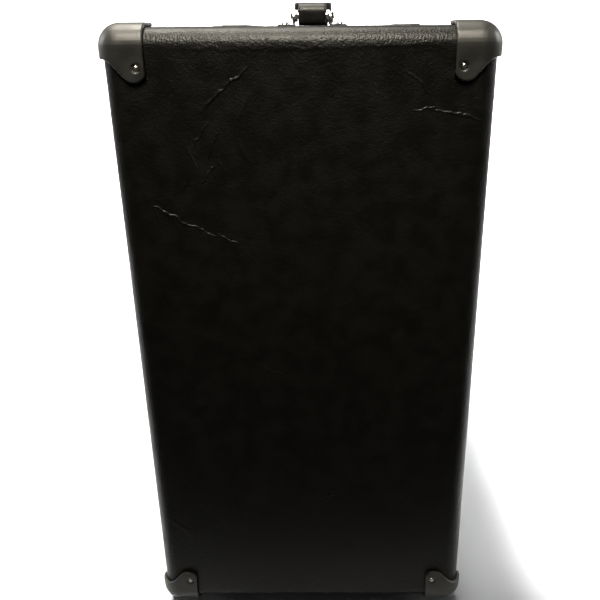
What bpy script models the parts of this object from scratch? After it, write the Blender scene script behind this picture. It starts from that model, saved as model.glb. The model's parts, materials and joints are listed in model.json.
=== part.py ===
"""Portable tube tester in an upright, vinyl-covered plywood cabinet with a strap handle on top.

All sizes below are millimetres. The frame is +Z up with the floor at Z = 0, the control panel faces -Y,
and the origin is at the middle of the footprint. Each named object is one physical piece.
"""

from math import cos, pi, radians, sin

import bmesh
import bpy
from mathutils import Matrix, Vector

MM = 0.001
GAP = 0.3  # air between pieces that touch

# Cabinet
LENGTH = 430.0  # along X, the way the handle runs
DEPTH = 266.0  # along Y, front to back
HEIGHT = 488.0  # without the feet
FOOT_HEIGHT = 12.0
EDGE_RADIUS = 13.0
VINYL = 1.0
WALL = 19.0  # board and covering together
BASE = FOOT_HEIGHT
TOP = BASE + HEIGHT
OPENING_X = LENGTH / 2 - WALL
OPENING_LOW = BASE + WALL
OPENING_HIGH = TOP - WALL

# Corner protectors
PROTECTOR = 3.0  # how far they stand proud
LOBE_REACH = 32.0  # from the cabinet's side to the lobe's straight edge
NAIL_INSET = 24.5
LOBE_RADIUS = 9.5
LIP_REACH = 20.0  # how far the lip runs along the rim

# Handle
HANDLE_Y = -6.0
PIN_X = 115.0
PIN_Z = TOP + 7.8
PIN_RADIUS = 2.5
PIN_PLAY = 0.4
HANDLE_LIFT = 2.5
STRAP_TOP = TOP + 17.0
STRAP_RISE = 3.0
STRAP_THICK = 7.0
LOOP_WIDTH = 21.6
LOOP_HALF = 6.0
GRIP_WIDTH = 30.0
GRIP_END = 96.0
BRACKET_WIDTH = 55.0
BRACKET_FOOT = 20.0
BRACKET_PLATE = 1.6
EAR_INNER = 11.4
EAR_THICK = 4.0
EAR_TOP = TOP + 11.4

# Top vents
VENT_Y = (-83.0, 59.0)
VENT_LENGTH = 176.0
VENT_WIDTH = 14.0
VENT_FLANGE = 3.5
VENT_PROUD = 1.8
VENT_SLOTS = 8

# Control panel
PANEL_FRONT = -107.0
PANEL_THICK = 2.5
PANEL_BACK = PANEL_FRONT + PANEL_THICK
PANEL_X = OPENING_X - GAP
PANEL_LOW = OPENING_LOW + GAP
PANEL_HIGH = OPENING_HIGH - GAP
BATTEN = 15.0

# Rear panel
REAR_FACE = 121.0
REAR_THICK = 4.0
INLET_AT = (130.0, 80.0)
INLET_SIZE = (30.0, 24.0)
FUSE_AT = (70.0, 80.0)
FUSE_BODY = 6.5

# Meter
METER_AT = (-95.0, 408.0)
METER_SIZE = (150.0, 112.0)
METER_DEPTH = 12.0
METER_WALL = 4.0
METER_BODY_RADIUS = 36.0
METER_SILL = 3.0
METER_COVER_TOP = 386.0
ADJUSTER_RADIUS = 2.2
ADJUSTER_Z = 362.0
NEEDLE_Y = PANEL_FRONT - 7.2
PIVOT_Z = 374.0
NEEDLE_LENGTH = 70.0
NEEDLE_REST = -45.0  # degrees from straight up, at zero

# Rotary selectors: name, x, resting angle of the pointer in degrees clockwise from straight up
MAIN_ROW_Z = 212.0
MAIN_KNOBS = (("filament_knob", -120.0, -90.0), ("bias_knob", 0.0, -150.0), ("load_knob", 120.0, -60.0))
PIN_ROW_Z = 148.0
PIN_KNOBS = (
    ("pin_selector_knob_1", -135.0, -120.0),
    ("pin_selector_knob_2", -45.0, -30.0),
    ("pin_selector_knob_3", 45.0, -60.0),
    ("pin_selector_knob_4", 135.0, -150.0),
)
SHAFT_RADIUS = 3.0
SHAFT_BACK = 16.0
KNOB_STAND = 3.0
DECK_Y = -80.0
BUSH_RADIUS = 5.0

# Bottom row
LOW_ROW_Z = 85.0
BUTTONS = (("shorts_button", -40.0), ("gas_button", 0.0), ("value_button", 40.0))
BUTTON_RADIUS = 7.0
BUTTON_PLAY = 0.5
TOGGLE_BUSH = 6.0
TOGGLE_PIVOT_Y = PANEL_FRONT - 1.0
TOGGLE_X = -140.0
TOGGLE_REST = 12.0  # degrees below straight out, when off
LAMP_X = 130.0
LAMP_BODY = 6.5

# Sockets: name, x, z, flange radius, body radius, key hole radius or 0
SOCKETS = (
    ("octal_socket", 22.0, 436.0, 18.0, 14.5, 4.2),
    ("loctal_socket", 78.0, 436.0, 18.0, 14.5, 4.2),
    ("seven_pin_socket", 134.0, 436.0, 20.0, 16.5, 0.0),
    ("noval_socket", 50.0, 384.0, 14.0, 11.0, 0.0),
    ("miniature_socket", 106.0, 384.0, 12.5, 9.5, 0.0),
)

# Roll chart
CHART_Z = 300.0
CHART_WINDOW = (260.0, 40.0)
CHART_BEZEL = (296.0, 62.0)
ROLLER_OFFSET = 24.0
ROLLER_Y = PANEL_FRONT + 14.0
ROLLER_RADIUS = 9.0
ROLLER_HALF = 131.0
WHEEL_X = 166.0
WHEEL_RADIUS = 19.0
WHEEL_HALF = 3.5
LUG_X = 144.0
CRADLE_BACK = -78.0

# Chassis and transformer
CHASSIS_Y = -66.0
CHASSIS_THICK = 2.0
CHASSIS_X = 176.0
CHASSIS_LOW = 60.0
CHASSIS_HIGH = 350.0
TRANSFORMER_AT = (40.0, 130.0)
TRANSFORMER_CORE = (100.0, 40.0, 84.0)

FINISHES = {
    "plywood": ((0.55, 0.40, 0.24), 0.7, 0.0),
    "black_vinyl": ((0.02, 0.02, 0.018), 0.5, 0.0),
    "black_plastic": ((0.02, 0.02, 0.018), 0.35, 0.0),
    "chrome": ((0.75, 0.75, 0.76), 0.15, 1.0),
    "rubber": ((0.02, 0.02, 0.02), 0.8, 0.0),
    "panel_metal": ((0.55, 0.56, 0.57), 0.35, 1.0),
    "bakelite": ((0.03, 0.02, 0.015), 0.3, 0.0),
    "dial_card": ((0.85, 0.80, 0.66), 0.6, 0.0),
    "clear_glass": ((0.9, 0.95, 0.95), 0.05, 0.0),
    "needle_black": ((0.02, 0.02, 0.02), 0.5, 0.0),
    "zinc_steel": ((0.50, 0.50, 0.48), 0.4, 1.0),
    "laminations": ((0.20, 0.19, 0.18), 0.5, 1.0),
    "chart_paper": ((0.82, 0.77, 0.62), 0.8, 0.0),
    "red_jewel": ((0.55, 0.02, 0.02), 0.1, 0.0),
    "back_board": ((0.05, 0.045, 0.04), 0.7, 0.0),
}


def finish(name):
    """The named material, made the first time that it is asked for."""
    found = bpy.data.materials.get(name)
    if found:
        return found
    colour, roughness, metallic = FINISHES[name]
    made = bpy.data.materials.new(name)
    made.use_nodes = True
    shader = made.node_tree.nodes["Principled BSDF"]
    shader.inputs["Base Color"].default_value = (*colour, 1.0)
    shader.inputs["Roughness"].default_value = roughness
    shader.inputs["Metallic"].default_value = metallic
    return made


# Shapes, as meshes in millimetres


def joined(*shapes):
    """One mesh holding all of these."""
    whole = shapes[0]
    for shape in shapes[1:]:
        part = bpy.data.meshes.new("part")
        shape.to_mesh(part)
        shape.free()
        whole.from_mesh(part)
        bpy.data.meshes.remove(part)
    return whole


def box(low, high):
    """A block between two corners."""
    shape = bmesh.new()
    low, high = Vector(low), Vector(high)
    bmesh.ops.create_cube(shape, size=1.0)
    bmesh.ops.scale(shape, vec=high - low, verts=shape.verts)
    bmesh.ops.translate(shape, vec=(low + high) / 2, verts=shape.verts)
    return shape


def rounded_box(low, high, radius, steps=3):
    """A block with all of its edges rounded."""
    shape = box(low, high)
    bmesh.ops.bevel(
        shape, geom=shape.edges[:], offset=radius, segments=steps, profile=0.5, affect="EDGES", clamp_overlap=True
    )
    return shape


def sliced(shape, point, away):
    """The part of a solid behind a plane, with the cut closed. `away` points to the side that goes."""
    geometry = shape.verts[:] + shape.edges[:] + shape.faces[:]
    cut = bmesh.ops.bisect_plane(shape, geom=geometry, plane_co=point, plane_no=away, clear_outer=True, dist=1e-5)
    rim = [item for item in cut["geom_cut"] if isinstance(item, bmesh.types.BMEdge)]
    bmesh.ops.edgeloop_fill(shape, edges=rim)
    return shape


def prism(outline, axis, low, high):
    """An outline in the plane across an axis, extruded from low to high along it."""
    shape = bmesh.new()
    place = {
        "X": lambda a, b: (low, a, b),
        "Y": lambda a, b: (a, low, b),
        "Z": lambda a, b: (a, b, low),
    }[axis]
    face = shape.faces.new([shape.verts.new(place(a, b)) for a, b in outline])
    raised = bmesh.ops.extrude_face_region(shape, geom=[face])
    moved = [item for item in raised["geom"] if isinstance(item, bmesh.types.BMVert)]
    bmesh.ops.translate(shape, vec=[(high - low) * (axis == letter) for letter in "XYZ"], verts=moved)
    bmesh.ops.recalc_face_normals(shape, faces=shape.faces[:])
    return shape


def turned(profile, sides=16, closed=False):
    """A shape turned about Z from (radius, height) points. A closed profile makes a ring."""
    shape = bmesh.new()
    points = [shape.verts.new((radius, 0.0, height)) for radius, height in profile]
    edges = [shape.edges.new(pair) for pair in zip(points, points[1:])]
    if closed:
        edges.append(shape.edges.new((points[-1], points[0])))
    bmesh.ops.spin(shape, geom=points + edges, cent=(0, 0, 0), axis=(0, 0, 1), angle=2 * pi, steps=sides)
    bmesh.ops.remove_doubles(shape, verts=shape.verts[:], dist=1e-3)
    bmesh.ops.recalc_face_normals(shape, faces=shape.faces[:])
    return shape


def facing_front(shape, at=(0, 0, 0)):
    """Turns a shape made along +Z to point at the front, -Y, and moves it to a point."""
    bmesh.ops.rotate(shape, cent=(0, 0, 0), matrix=Matrix.Rotation(pi / 2, 3, "X"), verts=shape.verts)
    bmesh.ops.translate(shape, vec=at, verts=shape.verts)
    return shape


def moved(shape, by):
    """The shape, shifted."""
    bmesh.ops.translate(shape, vec=by, verts=shape.verts)
    return shape


def arc(centre, radius, start, end, steps):
    """Points along an arc, in degrees from the first axis."""
    angles = [radians(start + (end - start) * i / steps) for i in range(steps + 1)]
    return [(centre[0] + radius * cos(a), centre[1] + radius * sin(a)) for a in angles]


def rectangle(width, height, centre=(0.0, 0.0)):
    """The four corners of a rectangle."""
    x, y = width / 2, height / 2
    return [(centre[0] + a, centre[1] + b) for a, b in ((-x, -y), (x, -y), (x, y), (-x, y))]


# Objects


def piece(name, shape, material, at=(0, 0, 0)):
    """A named object from a mesh in millimetres, with its origin at a point in millimetres."""
    bmesh.ops.scale(shape, vec=(MM, MM, MM), verts=shape.verts)
    mesh = bpy.data.meshes.new(name)
    shape.to_mesh(mesh)
    shape.free()
    mesh.materials.append(finish(material))
    mesh.shade_smooth()
    mesh.set_sharp_from_angle(angle=radians(35))
    made = bpy.data.objects.new(name, mesh)
    made.location = Vector(at) * MM
    bpy.context.scene.collection.objects.link(made)
    return made


def combine(target, shape, how, at=(0, 0, 0)):
    """Cuts, joins or crosses a piece with a hidden tool shape."""
    tool = piece(f"{target.name}_tool", shape, "zinc_steel", at)
    tool.hide_render = True
    tool.display_type = "WIRE"
    modifier = target.modifiers.new(how.lower(), "BOOLEAN")
    modifier.operation = how
    modifier.solver = "EXACT"
    modifier.object = tool
    return target


def cut(target, *shapes, at=(0, 0, 0)):
    """Removes shapes from a piece."""
    for shape in shapes:
        combine(target, shape, "DIFFERENCE", at)
    return target


def add(target, *shapes, at=(0, 0, 0)):
    """Joins shapes to a piece."""
    for shape in shapes:
        combine(target, shape, "UNION", at)
    return target


def settled(source, name, material, matrix):
    """A new object holding a copy of another's finished mesh, mirrored or moved by a matrix."""
    graph = bpy.context.evaluated_depsgraph_get()
    mesh = bpy.data.meshes.new_from_object(source.evaluated_get(graph))
    mesh.transform(matrix)
    if matrix.determinant() < 0:
        mesh.flip_normals()
    mesh.name = name
    mesh.materials.clear()
    mesh.materials.append(finish(material))
    made = bpy.data.objects.new(name, mesh)
    bpy.context.scene.collection.objects.link(made)
    return made


# Cabinet


def cabinet_block(inset):
    """The cabinet's rounded outer block, taken in by an inset all round."""
    low = (-LENGTH / 2 + inset, -DEPTH / 2 + inset, BASE + inset)
    high = (LENGTH / 2 - inset, DEPTH / 2 - inset, TOP - inset)
    return rounded_box(low, high, EDGE_RADIUS - inset)


def make_boards():
    """Four plywood boards: the ends run full height, the top and bottom fit between them."""
    inset = VINYL + GAP
    for name, side in (("left_end_board", -1), ("right_end_board", 1)):
        shape = sliced(cabinet_block(inset), (side * OPENING_X, 0, 0), (-side, 0, 0))
        piece(name, shape, "plywood")
    for name, side, level in (("bottom_board", -1, OPENING_LOW), ("top_board", 1, OPENING_HIGH)):
        shape = sliced(cabinet_block(inset), (0, 0, level), (0, 0, -side))
        for end in (-1, 1):
            shape = sliced(shape, (end * PANEL_X, 0, 0), (end, 0, 0))
        board = piece(name, shape, "plywood")
        if side > 0:
            for y in VENT_Y:
                cut(board, vent_hole(y, OPENING_HIGH - 5))


def vent_hole(y, low):
    """The slot in the cabinet's top that a vent grille drops into."""
    x, half = VENT_LENGTH / 2 + 1, VENT_WIDTH / 2 + 1
    return box((-x, y - half, low), (x, y + half, TOP + 5))


def make_covering():
    """The vinyl cloth, glued round the boards and over the rims."""
    covering = piece("vinyl_covering", cabinet_block(0.0), "black_vinyl")
    cut(covering, cabinet_block(VINYL))
    cut(covering, box((-OPENING_X, -DEPTH, OPENING_LOW), (OPENING_X, DEPTH, OPENING_HIGH)))
    for y in VENT_Y:
        cut(covering, vent_hole(y, OPENING_HIGH - 5))


def lobe_outline():
    """A protector's outline on a face: distances from the side and from the top or end."""
    centre = (NAIL_INSET - 2, NAIL_INSET + 1)
    lobe = arc(centre, LOBE_RADIUS, 0, 120, 5)
    return [(-9, -9), (LOBE_REACH, -9), *lobe, (9, LIP_REACH + 3), (4, LIP_REACH), (-9, LIP_REACH)]


def lip_outline():
    """A protector's outline across the depth: short on the rim, free along the two faces."""
    near, far, slack = LIP_REACH - 8, 60, 5
    rim = [(LIP_REACH, slack), (LIP_REACH, near), (near, LIP_REACH), (slack, LIP_REACH)]
    return [(-9, -9), (far, -9), (far, slack), *rim, (slack, far), (-9, far)]


def make_corner_protectors():
    """Eight moulded protectors from one master for the left, front, top corner."""
    corner = Vector((-LENGTH / 2, -DEPTH / 2, TOP))
    shell = rounded_box(
        (-PROTECTOR, -PROTECTOR, -90), (90, 90, PROTECTOR), EDGE_RADIUS + PROTECTOR, steps=3
    )
    master = piece("protector_master", shell, "black_plastic")
    cut(master, rounded_box((-GAP, -GAP, -120), (120, 120, GAP), EDGE_RADIUS + GAP, steps=3))
    combine(master, prism([(v, -w) for v, w in lobe_outline()], "X", -9, 60), "INTERSECT")
    combine(master, prism([(u, v) for v, u in lobe_outline()], "Z", -60, 9), "INTERSECT")
    combine(master, prism([(u, -w) for u, w in lip_outline()], "Y", -9, 60), "INTERSECT")
    master.hide_render = True
    master.display_type = "WIRE"
    centre = Vector((0, 0, BASE + HEIGHT / 2))
    for height, up in (("top", 1), ("bottom", -1)):
        for depth, back in (("front", 1), ("rear", -1)):
            for side, left in (("left", 1), ("right", -1)):
                flip = Matrix.Diagonal((left, back, up, 1))
                place = Matrix.Translation((centre * MM)) @ flip @ Matrix.Translation((corner - centre) * MM)
                settled(master, f"corner_protector_{depth}_{side}_{height}", "black_plastic", place)


def make_feet():
    """Four turned rubber feet, set in from the corners."""
    profile = [(0, 0), (15, 0), (17, 2), (19, FOOT_HEIGHT - GAP), (0, FOOT_HEIGHT - GAP)]
    for depth, y in (("front", -88.0), ("rear", 88.0)):
        for side, x in (("left", -165.0), ("right", 165.0)):
            piece(f"rubber_foot_{depth}_{side}", turned(profile, 14), "rubber", (x, y, 0))


def make_vents():
    """Two moulded louvre grilles let into the top, beside the handle."""
    x, half = VENT_LENGTH / 2, VENT_WIDTH / 2
    for name, y in zip(("vent_grille_front", "vent_grille_rear"), VENT_Y):
        flange = rounded_box(
            (-x - VENT_FLANGE, -half - VENT_FLANGE, GAP), (x + VENT_FLANGE, half + VENT_FLANGE, VENT_PROUD), 0.7, 1
        )
        grille = piece(name, flange, "black_plastic", (0, y, TOP))
        add(grille, box((-x, -half, -WALL + 4), (x, half, 1.0)), at=(0, y, TOP))
        pitch = VENT_LENGTH / VENT_SLOTS
        holes = [
            box((-x + pitch * (i + 0.2), -half + 3, -WALL), (-x + pitch * (i + 0.8), half - 3, 5))
            for i in range(VENT_SLOTS)
        ]
        cut(grille, joined(*holes), at=(0, y, TOP))


# Handle


def strap_outline():
    """The strap seen from the front: two hanging loop ends and a gently arched band between them."""
    count = 8
    end = PIN_X + LOOP_HALF
    top = [
        (-end + 2 * end * i / count, STRAP_TOP - PIN_Z + STRAP_RISE * sin(pi * i / count))
        for i in range(count + 1)
    ]
    top[0] = (-end, STRAP_TOP - PIN_Z - 4)
    top[-1] = (end, STRAP_TOP - PIN_Z - 4)
    top.insert(1, (-end + 4, STRAP_TOP - PIN_Z))
    top.insert(-1, (end - 4, STRAP_TOP - PIN_Z))
    foot = TOP + 0.6 - PIN_Z
    under = STRAP_TOP - PIN_Z - STRAP_THICK
    inner = PIN_X - LOOP_HALF
    low = [(end, foot + 4), (end - 4, foot), (inner + 3, foot), (inner, foot + 3), (inner - 5, under)]
    bottom = [(inner * (0.6 - 0.4 * i), under + STRAP_RISE * 0.8) for i in range(4)]
    return top + low + bottom + [(-x, z) for x, z in reversed(low)]


def stadium(centre_low, centre_high, radius, steps=5):
    """An upright slot outline with round ends."""
    return arc(centre_high, radius, 0, 180, steps) + arc(centre_low, radius, 180, 360, steps)


def make_handle():
    """The strap with its slotted loops, and a bracket with a riveted pin under each end."""
    at = (0, HANDLE_Y, PIN_Z)
    band = prism(strap_outline(), "Y", -LOOP_WIDTH / 2, LOOP_WIDTH / 2)
    strap = piece("handle_strap", band, "black_vinyl", at)
    level = STRAP_TOP - PIN_Z - STRAP_THICK + 2.8
    grip = rounded_box(
        (-GRIP_END, -GRIP_WIDTH / 2, level), (GRIP_END, GRIP_WIDTH / 2, STRAP_TOP - PIN_Z - 0.5), 1.8, 2
    )
    add(strap, grip, at=at)
    reach = PIN_RADIUS + PIN_PLAY
    for x in (-PIN_X, PIN_X):
        slot = stadium((x, -HANDLE_LIFT), (x, 0.0), reach)
        cut(strap, prism(slot, "Y", -LOOP_WIDTH, LOOP_WIDTH), at=at)
    for name, x in (("handle_bracket_left", -PIN_X), ("handle_bracket_right", PIN_X)):
        place = (x, HANDLE_Y, TOP)
        half = BRACKET_WIDTH / 2
        foot = BRACKET_FOOT / 2
        plates = []
        for side in (-1, 1):
            inner, outer = sorted((side * EAR_INNER, side * half))
            plates.append(box((-foot, inner, GAP), (foot, outer, BRACKET_PLATE)))
        ears = []
        ear_half = 6.5
        height = EAR_TOP - TOP
        outline = [(-ear_half, 1.0), (ear_half, 1.0)] + arc((0, height - ear_half), ear_half, 0, 180, 6)
        for side in (-1, 1):
            near, far = sorted((side * EAR_INNER, side * (EAR_INNER + EAR_THICK)))
            ears.append(prism(outline, "Y", near, far))
        bracket = piece(name, plates[0], "chrome", place)
        add(bracket, plates[1], ears[0], ears[1], at=place)
        reach = EAR_INNER + EAR_THICK - 1
        pin = turned([(0, -reach), (PIN_RADIUS, -reach), (PIN_RADIUS, reach), (0, reach)], 10)
        add(bracket, facing_front(pin, (0, 0, PIN_Z - TOP)), at=place)


# Front


def make_batten_frames():
    """A batten frame inside each end of the cabinet, which the front and rear panels screw to."""
    rear = REAR_FACE - REAR_THICK - GAP - BATTEN
    for name, low in (("front_batten_frame", PANEL_BACK + GAP), ("rear_batten_frame", rear)):
        frame = piece(name, box((-PANEL_X, low, PANEL_LOW), (PANEL_X, low + BATTEN, PANEL_HIGH)), "plywood")
        x, below, above = PANEL_X - BATTEN, PANEL_LOW + BATTEN, PANEL_HIGH - BATTEN
        cut(frame, box((-x, low - 5, below), (x, low + BATTEN + 5, above)))


def bore(x, z, radius, sides=12):
    """A round hole through the control panel, with as many sides as what passes through it."""
    return facing_front(turned([(0, -20), (radius, -20), (radius, 20), (0, 20)], sides), (x, PANEL_FRONT, z))


def make_panel():
    """The brushed panel, with a hole for everything that passes through it."""
    panel = piece(
        "control_panel", box((-PANEL_X, PANEL_FRONT, PANEL_LOW), (PANEL_X, PANEL_BACK, PANEL_HIGH)), "panel_metal"
    )
    holes = [bore(x, z, body + GAP, 18) for _, x, z, _, body, _ in SOCKETS]
    holes.append(bore(METER_AT[0], METER_AT[1], METER_BODY_RADIUS + GAP, 20))
    holes += [bore(x, MAIN_ROW_Z, BUSH_RADIUS + GAP) for _, x, _ in MAIN_KNOBS]
    holes += [bore(x, PIN_ROW_Z, BUSH_RADIUS + GAP) for _, x, _ in PIN_KNOBS]
    holes += [bore(x, LOW_ROW_Z, BUTTON_RADIUS + BUTTON_PLAY) for _, x in BUTTONS]
    holes.append(bore(TOGGLE_X, LOW_ROW_Z, TOGGLE_BUSH + GAP))
    holes.append(bore(LAMP_X, LOW_ROW_Z, LAMP_BODY + GAP, 14))
    width, height = CHART_WINDOW
    holes.append(prism(rectangle(width, height, (0, CHART_Z)), "Y", PANEL_FRONT - 5, PANEL_BACK + 5))
    for side in (-1, 1):
        slot = rectangle(2 * WHEEL_HALF + 2, 2 * 16.5, (WHEEL_X, CHART_Z + side * ROLLER_OFFSET))
        holes.append(prism(slot, "Y", PANEL_FRONT - 5, PANEL_BACK + 5))
    cut(panel, joined(*holes))


def make_meter():
    """The big panel meter: case, dial card, window, needle and zero screw."""
    x, z = METER_AT
    half_x, half_z = METER_SIZE[0] / 2, METER_SIZE[1] / 2
    back = PANEL_FRONT - GAP
    front = back - METER_DEPTH
    floor = front + 8
    body = rounded_box((x - half_x, front, z - half_z), (x + half_x, back + 6, z + half_z), 4, 2)
    case = piece("meter_case", sliced(body, (0, back, 0), (0, 1, 0)), "bakelite")
    add(case, facing_front(turned([(0, -34), (METER_BODY_RADIUS, -34), (METER_BODY_RADIUS, 2), (0, 2)], 20), (x, back, z)))
    inner_x, low, high = half_x - METER_WALL, z - half_z + METER_WALL, z + half_z - METER_WALL
    cut(case, box((x - inner_x, front + METER_SILL, low), (x + inner_x, floor, high)))
    cut(case, box((x - inner_x, front - 5, METER_COVER_TOP), (x + inner_x, floor - 1, high)))
    screw = [(0, -10), (ADJUSTER_RADIUS + GAP, -10), (ADJUSTER_RADIUS + GAP, 10), (0, 10)]
    cut(case, facing_front(turned(screw, 8), (x, front, ADJUSTER_Z)))
    card = box((x - inner_x + GAP, floor - 1 - GAP, low + GAP), (x + inner_x - GAP, floor - GAP, high - GAP))
    piece("meter_dial", card, "dial_card")
    pane = box(
        (x - inner_x + GAP, front + 0.4, METER_COVER_TOP + GAP), (x + inner_x - GAP, front + 2.0, high - GAP)
    )
    piece("meter_glass", pane, "clear_glass")
    hub = facing_front(turned([(0, -1.4), (5, -1.4), (5, 1.4), (0, 1.4)], 12))
    pivot = (x, NEEDLE_Y, PIVOT_Z)
    needle = piece("meter_needle", hub, "needle_black", pivot)
    blade = prism([(-1.4, 0), (1.4, 0), (0.4, NEEDLE_LENGTH), (-0.4, NEEDLE_LENGTH)], "Y", -0.5, 0.5)
    tail = prism(rectangle(3.2, 9, (0, -6)), "Y", -0.5, 0.5)
    for shape in (blade, tail):
        turn = Matrix.Rotation(radians(NEEDLE_REST), 3, "Y")
        bmesh.ops.rotate(shape, cent=(0, 0, 0), matrix=turn, verts=shape.verts)
    add(needle, blade, tail, at=pivot)
    head = [(0, -2.4), (ADJUSTER_RADIUS, -2.4), (ADJUSTER_RADIUS, GAP), (4.5, GAP), (4.5, 1.8), (0, 1.8)]
    place = (x, front, ADJUSTER_Z)
    adjuster = piece("zero_adjuster", facing_front(turned(head, 10)), "bakelite", place)
    cut(adjuster, box((-6, -3, -0.5), (6, -1.0, 0.5)), at=place)


def knob_shape(name, x, z, rest, skirt, height, material):
    """A pointer knob on its shaft. `rest` is clockwise from straight up, in degrees."""
    profile = [
        (0, -SHAFT_BACK),
        (SHAFT_RADIUS, -SHAFT_BACK),
        (SHAFT_RADIUS, KNOB_STAND),
        (skirt, KNOB_STAND),
        (skirt - 0.8, KNOB_STAND + 3),
        (skirt * 0.66, KNOB_STAND + 4.5),
        (skirt * 0.6, height),
        (0, height),
    ]
    place = (x, PANEL_FRONT, z)
    knob = piece(name, facing_front(turned(profile, 16)), material, place)
    tip = skirt + 3.0
    bar = prism([(-4, -skirt * 0.5), (4, -skirt * 0.5), (4, skirt * 0.5), (1.2, tip), (-1.2, tip), (-4, skirt * 0.5)],
                "Y", -height - 2.5, -KNOB_STAND - 1)
    bmesh.ops.rotate(bar, cent=(0, 0, 0), matrix=Matrix.Rotation(radians(rest), 3, "Y"), verts=bar.verts)
    add(knob, bar, at=place)


def make_selectors():
    """The knobs, and the board that carries their switch bodies."""
    for name, x, rest in MAIN_KNOBS:
        knob_shape(name, x, MAIN_ROW_Z, rest, 19.0, 15.0, "bakelite")
    for name, x, rest in PIN_KNOBS:
        knob_shape(name, x, PIN_ROW_Z, rest, 12.5, 13.0, "bakelite")
    spots = [(x, MAIN_ROW_Z) for _, x, _ in MAIN_KNOBS] + [(x, PIN_ROW_Z) for _, x, _ in PIN_KNOBS]
    board = box((-156, DECK_Y, PIN_ROW_Z - 22), (156, DECK_Y + 2, MAIN_ROW_Z + 22))
    deck = piece("selector_deck", board, "bakelite")
    start = PANEL_BACK + GAP
    for x, z in spots:
        length = DECK_Y + 1 - start
        body = turned([(0, -length), (15, -length), (15, 0), (BUSH_RADIUS, 0), (BUSH_RADIUS, 4.0), (0, 4.0)], 12)
        add(deck, facing_front(body, (x, start, z)))
    wells = [
        facing_front(turned([(0, -18), (SHAFT_RADIUS + 0.4, -18), (SHAFT_RADIUS + 0.4, 9), (0, 9)], 16), (x, start, z))
        for x, z in spots
    ]
    cut(deck, joined(*wells))


def make_buttons():
    """Three push buttons and the switch bank behind them."""
    start = PANEL_BACK + GAP
    for name, x in BUTTONS:
        profile = [(0, -15), (3, -15), (3, -1), (BUTTON_RADIUS, -1), (BUTTON_RADIUS, 7), (BUTTON_RADIUS - 1.5, 8), (0, 8)]
        piece(name, facing_front(turned(profile, 12)), "bakelite", (x, PANEL_FRONT, LOW_ROW_Z))
    bank = piece("button_bank", box((-54, start, LOW_ROW_Z - 12), (54, start + 26, LOW_ROW_Z + 12)), "bakelite")
    outer, inner = BUTTON_RADIUS + BUTTON_PLAY, 3 + BUTTON_PLAY
    wells = [
        facing_front(turned([(0, -22), (inner, -22), (inner, -5), (outer, -5), (outer, 5), (0, 5)], 12), (x, start, LOW_ROW_Z))
        for _, x in BUTTONS
    ]
    cut(bank, joined(*wells))


def make_toggle():
    """The power switch: a bat lever that rocks in a threaded bush."""
    start = PANEL_BACK + GAP
    body = piece(
        "toggle_body", box((TOGGLE_X - 8, start, LOW_ROW_Z - 15), (TOGGLE_X + 8, start + 22, LOW_ROW_Z + 15)), "bakelite"
    )
    bush = turned([(0, -3), (TOGGLE_BUSH, -3), (TOGGLE_BUSH, PANEL_THICK + GAP), (8, PANEL_THICK + 2 * GAP),
                   (8, 5), (TOGGLE_BUSH, 5), (TOGGLE_BUSH, 8), (0, 8)], 12)
    add(body, facing_front(bush, (TOGGLE_X, start, LOW_ROW_Z)))
    well = turned([(0, -9), (4.4, -9), (4.4, 12), (0, 12)], 12)
    cut(body, facing_front(well, (TOGGLE_X, start, LOW_ROW_Z)))
    profile = [(0, -4), (2.2, -3.4), (3.6, 0), (1.7, 3.2), (1.7, 6), (2.9, 17), (1.8, 19), (0, 19.4)]
    lever = facing_front(turned(profile, 10))
    bmesh.ops.rotate(lever, cent=(0, 0, 0), matrix=Matrix.Rotation(radians(TOGGLE_REST), 3, "X"), verts=lever.verts)
    piece("toggle_lever", lever, "chrome", (TOGGLE_X, TOGGLE_PIVOT_Y, LOW_ROW_Z))


def make_lamp():
    """The jewelled pilot lamp, one press-fit unit."""
    back = PANEL_FRONT - GAP
    profile = [(0, -18), (LAMP_BODY, -18), (LAMP_BODY, 0), (9, 0), (9, 3), (7, 4)]
    dome = [(6 * cos(radians(a)), 4 + 5 * sin(radians(a))) for a in (0, 30, 60, 90)]
    piece("pilot_lamp", facing_front(turned(profile + dome[:-1] + [(0, 9)], 14), (LAMP_X, back, LOW_ROW_Z)), "red_jewel")


def make_sockets():
    """Tube sockets of five kinds, each pressed through the panel."""
    back = PANEL_FRONT - GAP
    for name, x, z, flange, body, key in SOCKETS:
        profile = [(0, -14), (body, -14), (body, 0), (flange, 0), (flange, 1.5), (body - 1, 2.8), (0, 2.8)]
        socket = piece(name, facing_front(turned(profile, 18), (x, back, z)), "bakelite")
        if key:
            hole = turned([(0, -20), (key, -20), (key, 20), (0, 20)], 12)
            cut(socket, facing_front(hole, (x, back, z)))


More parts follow.
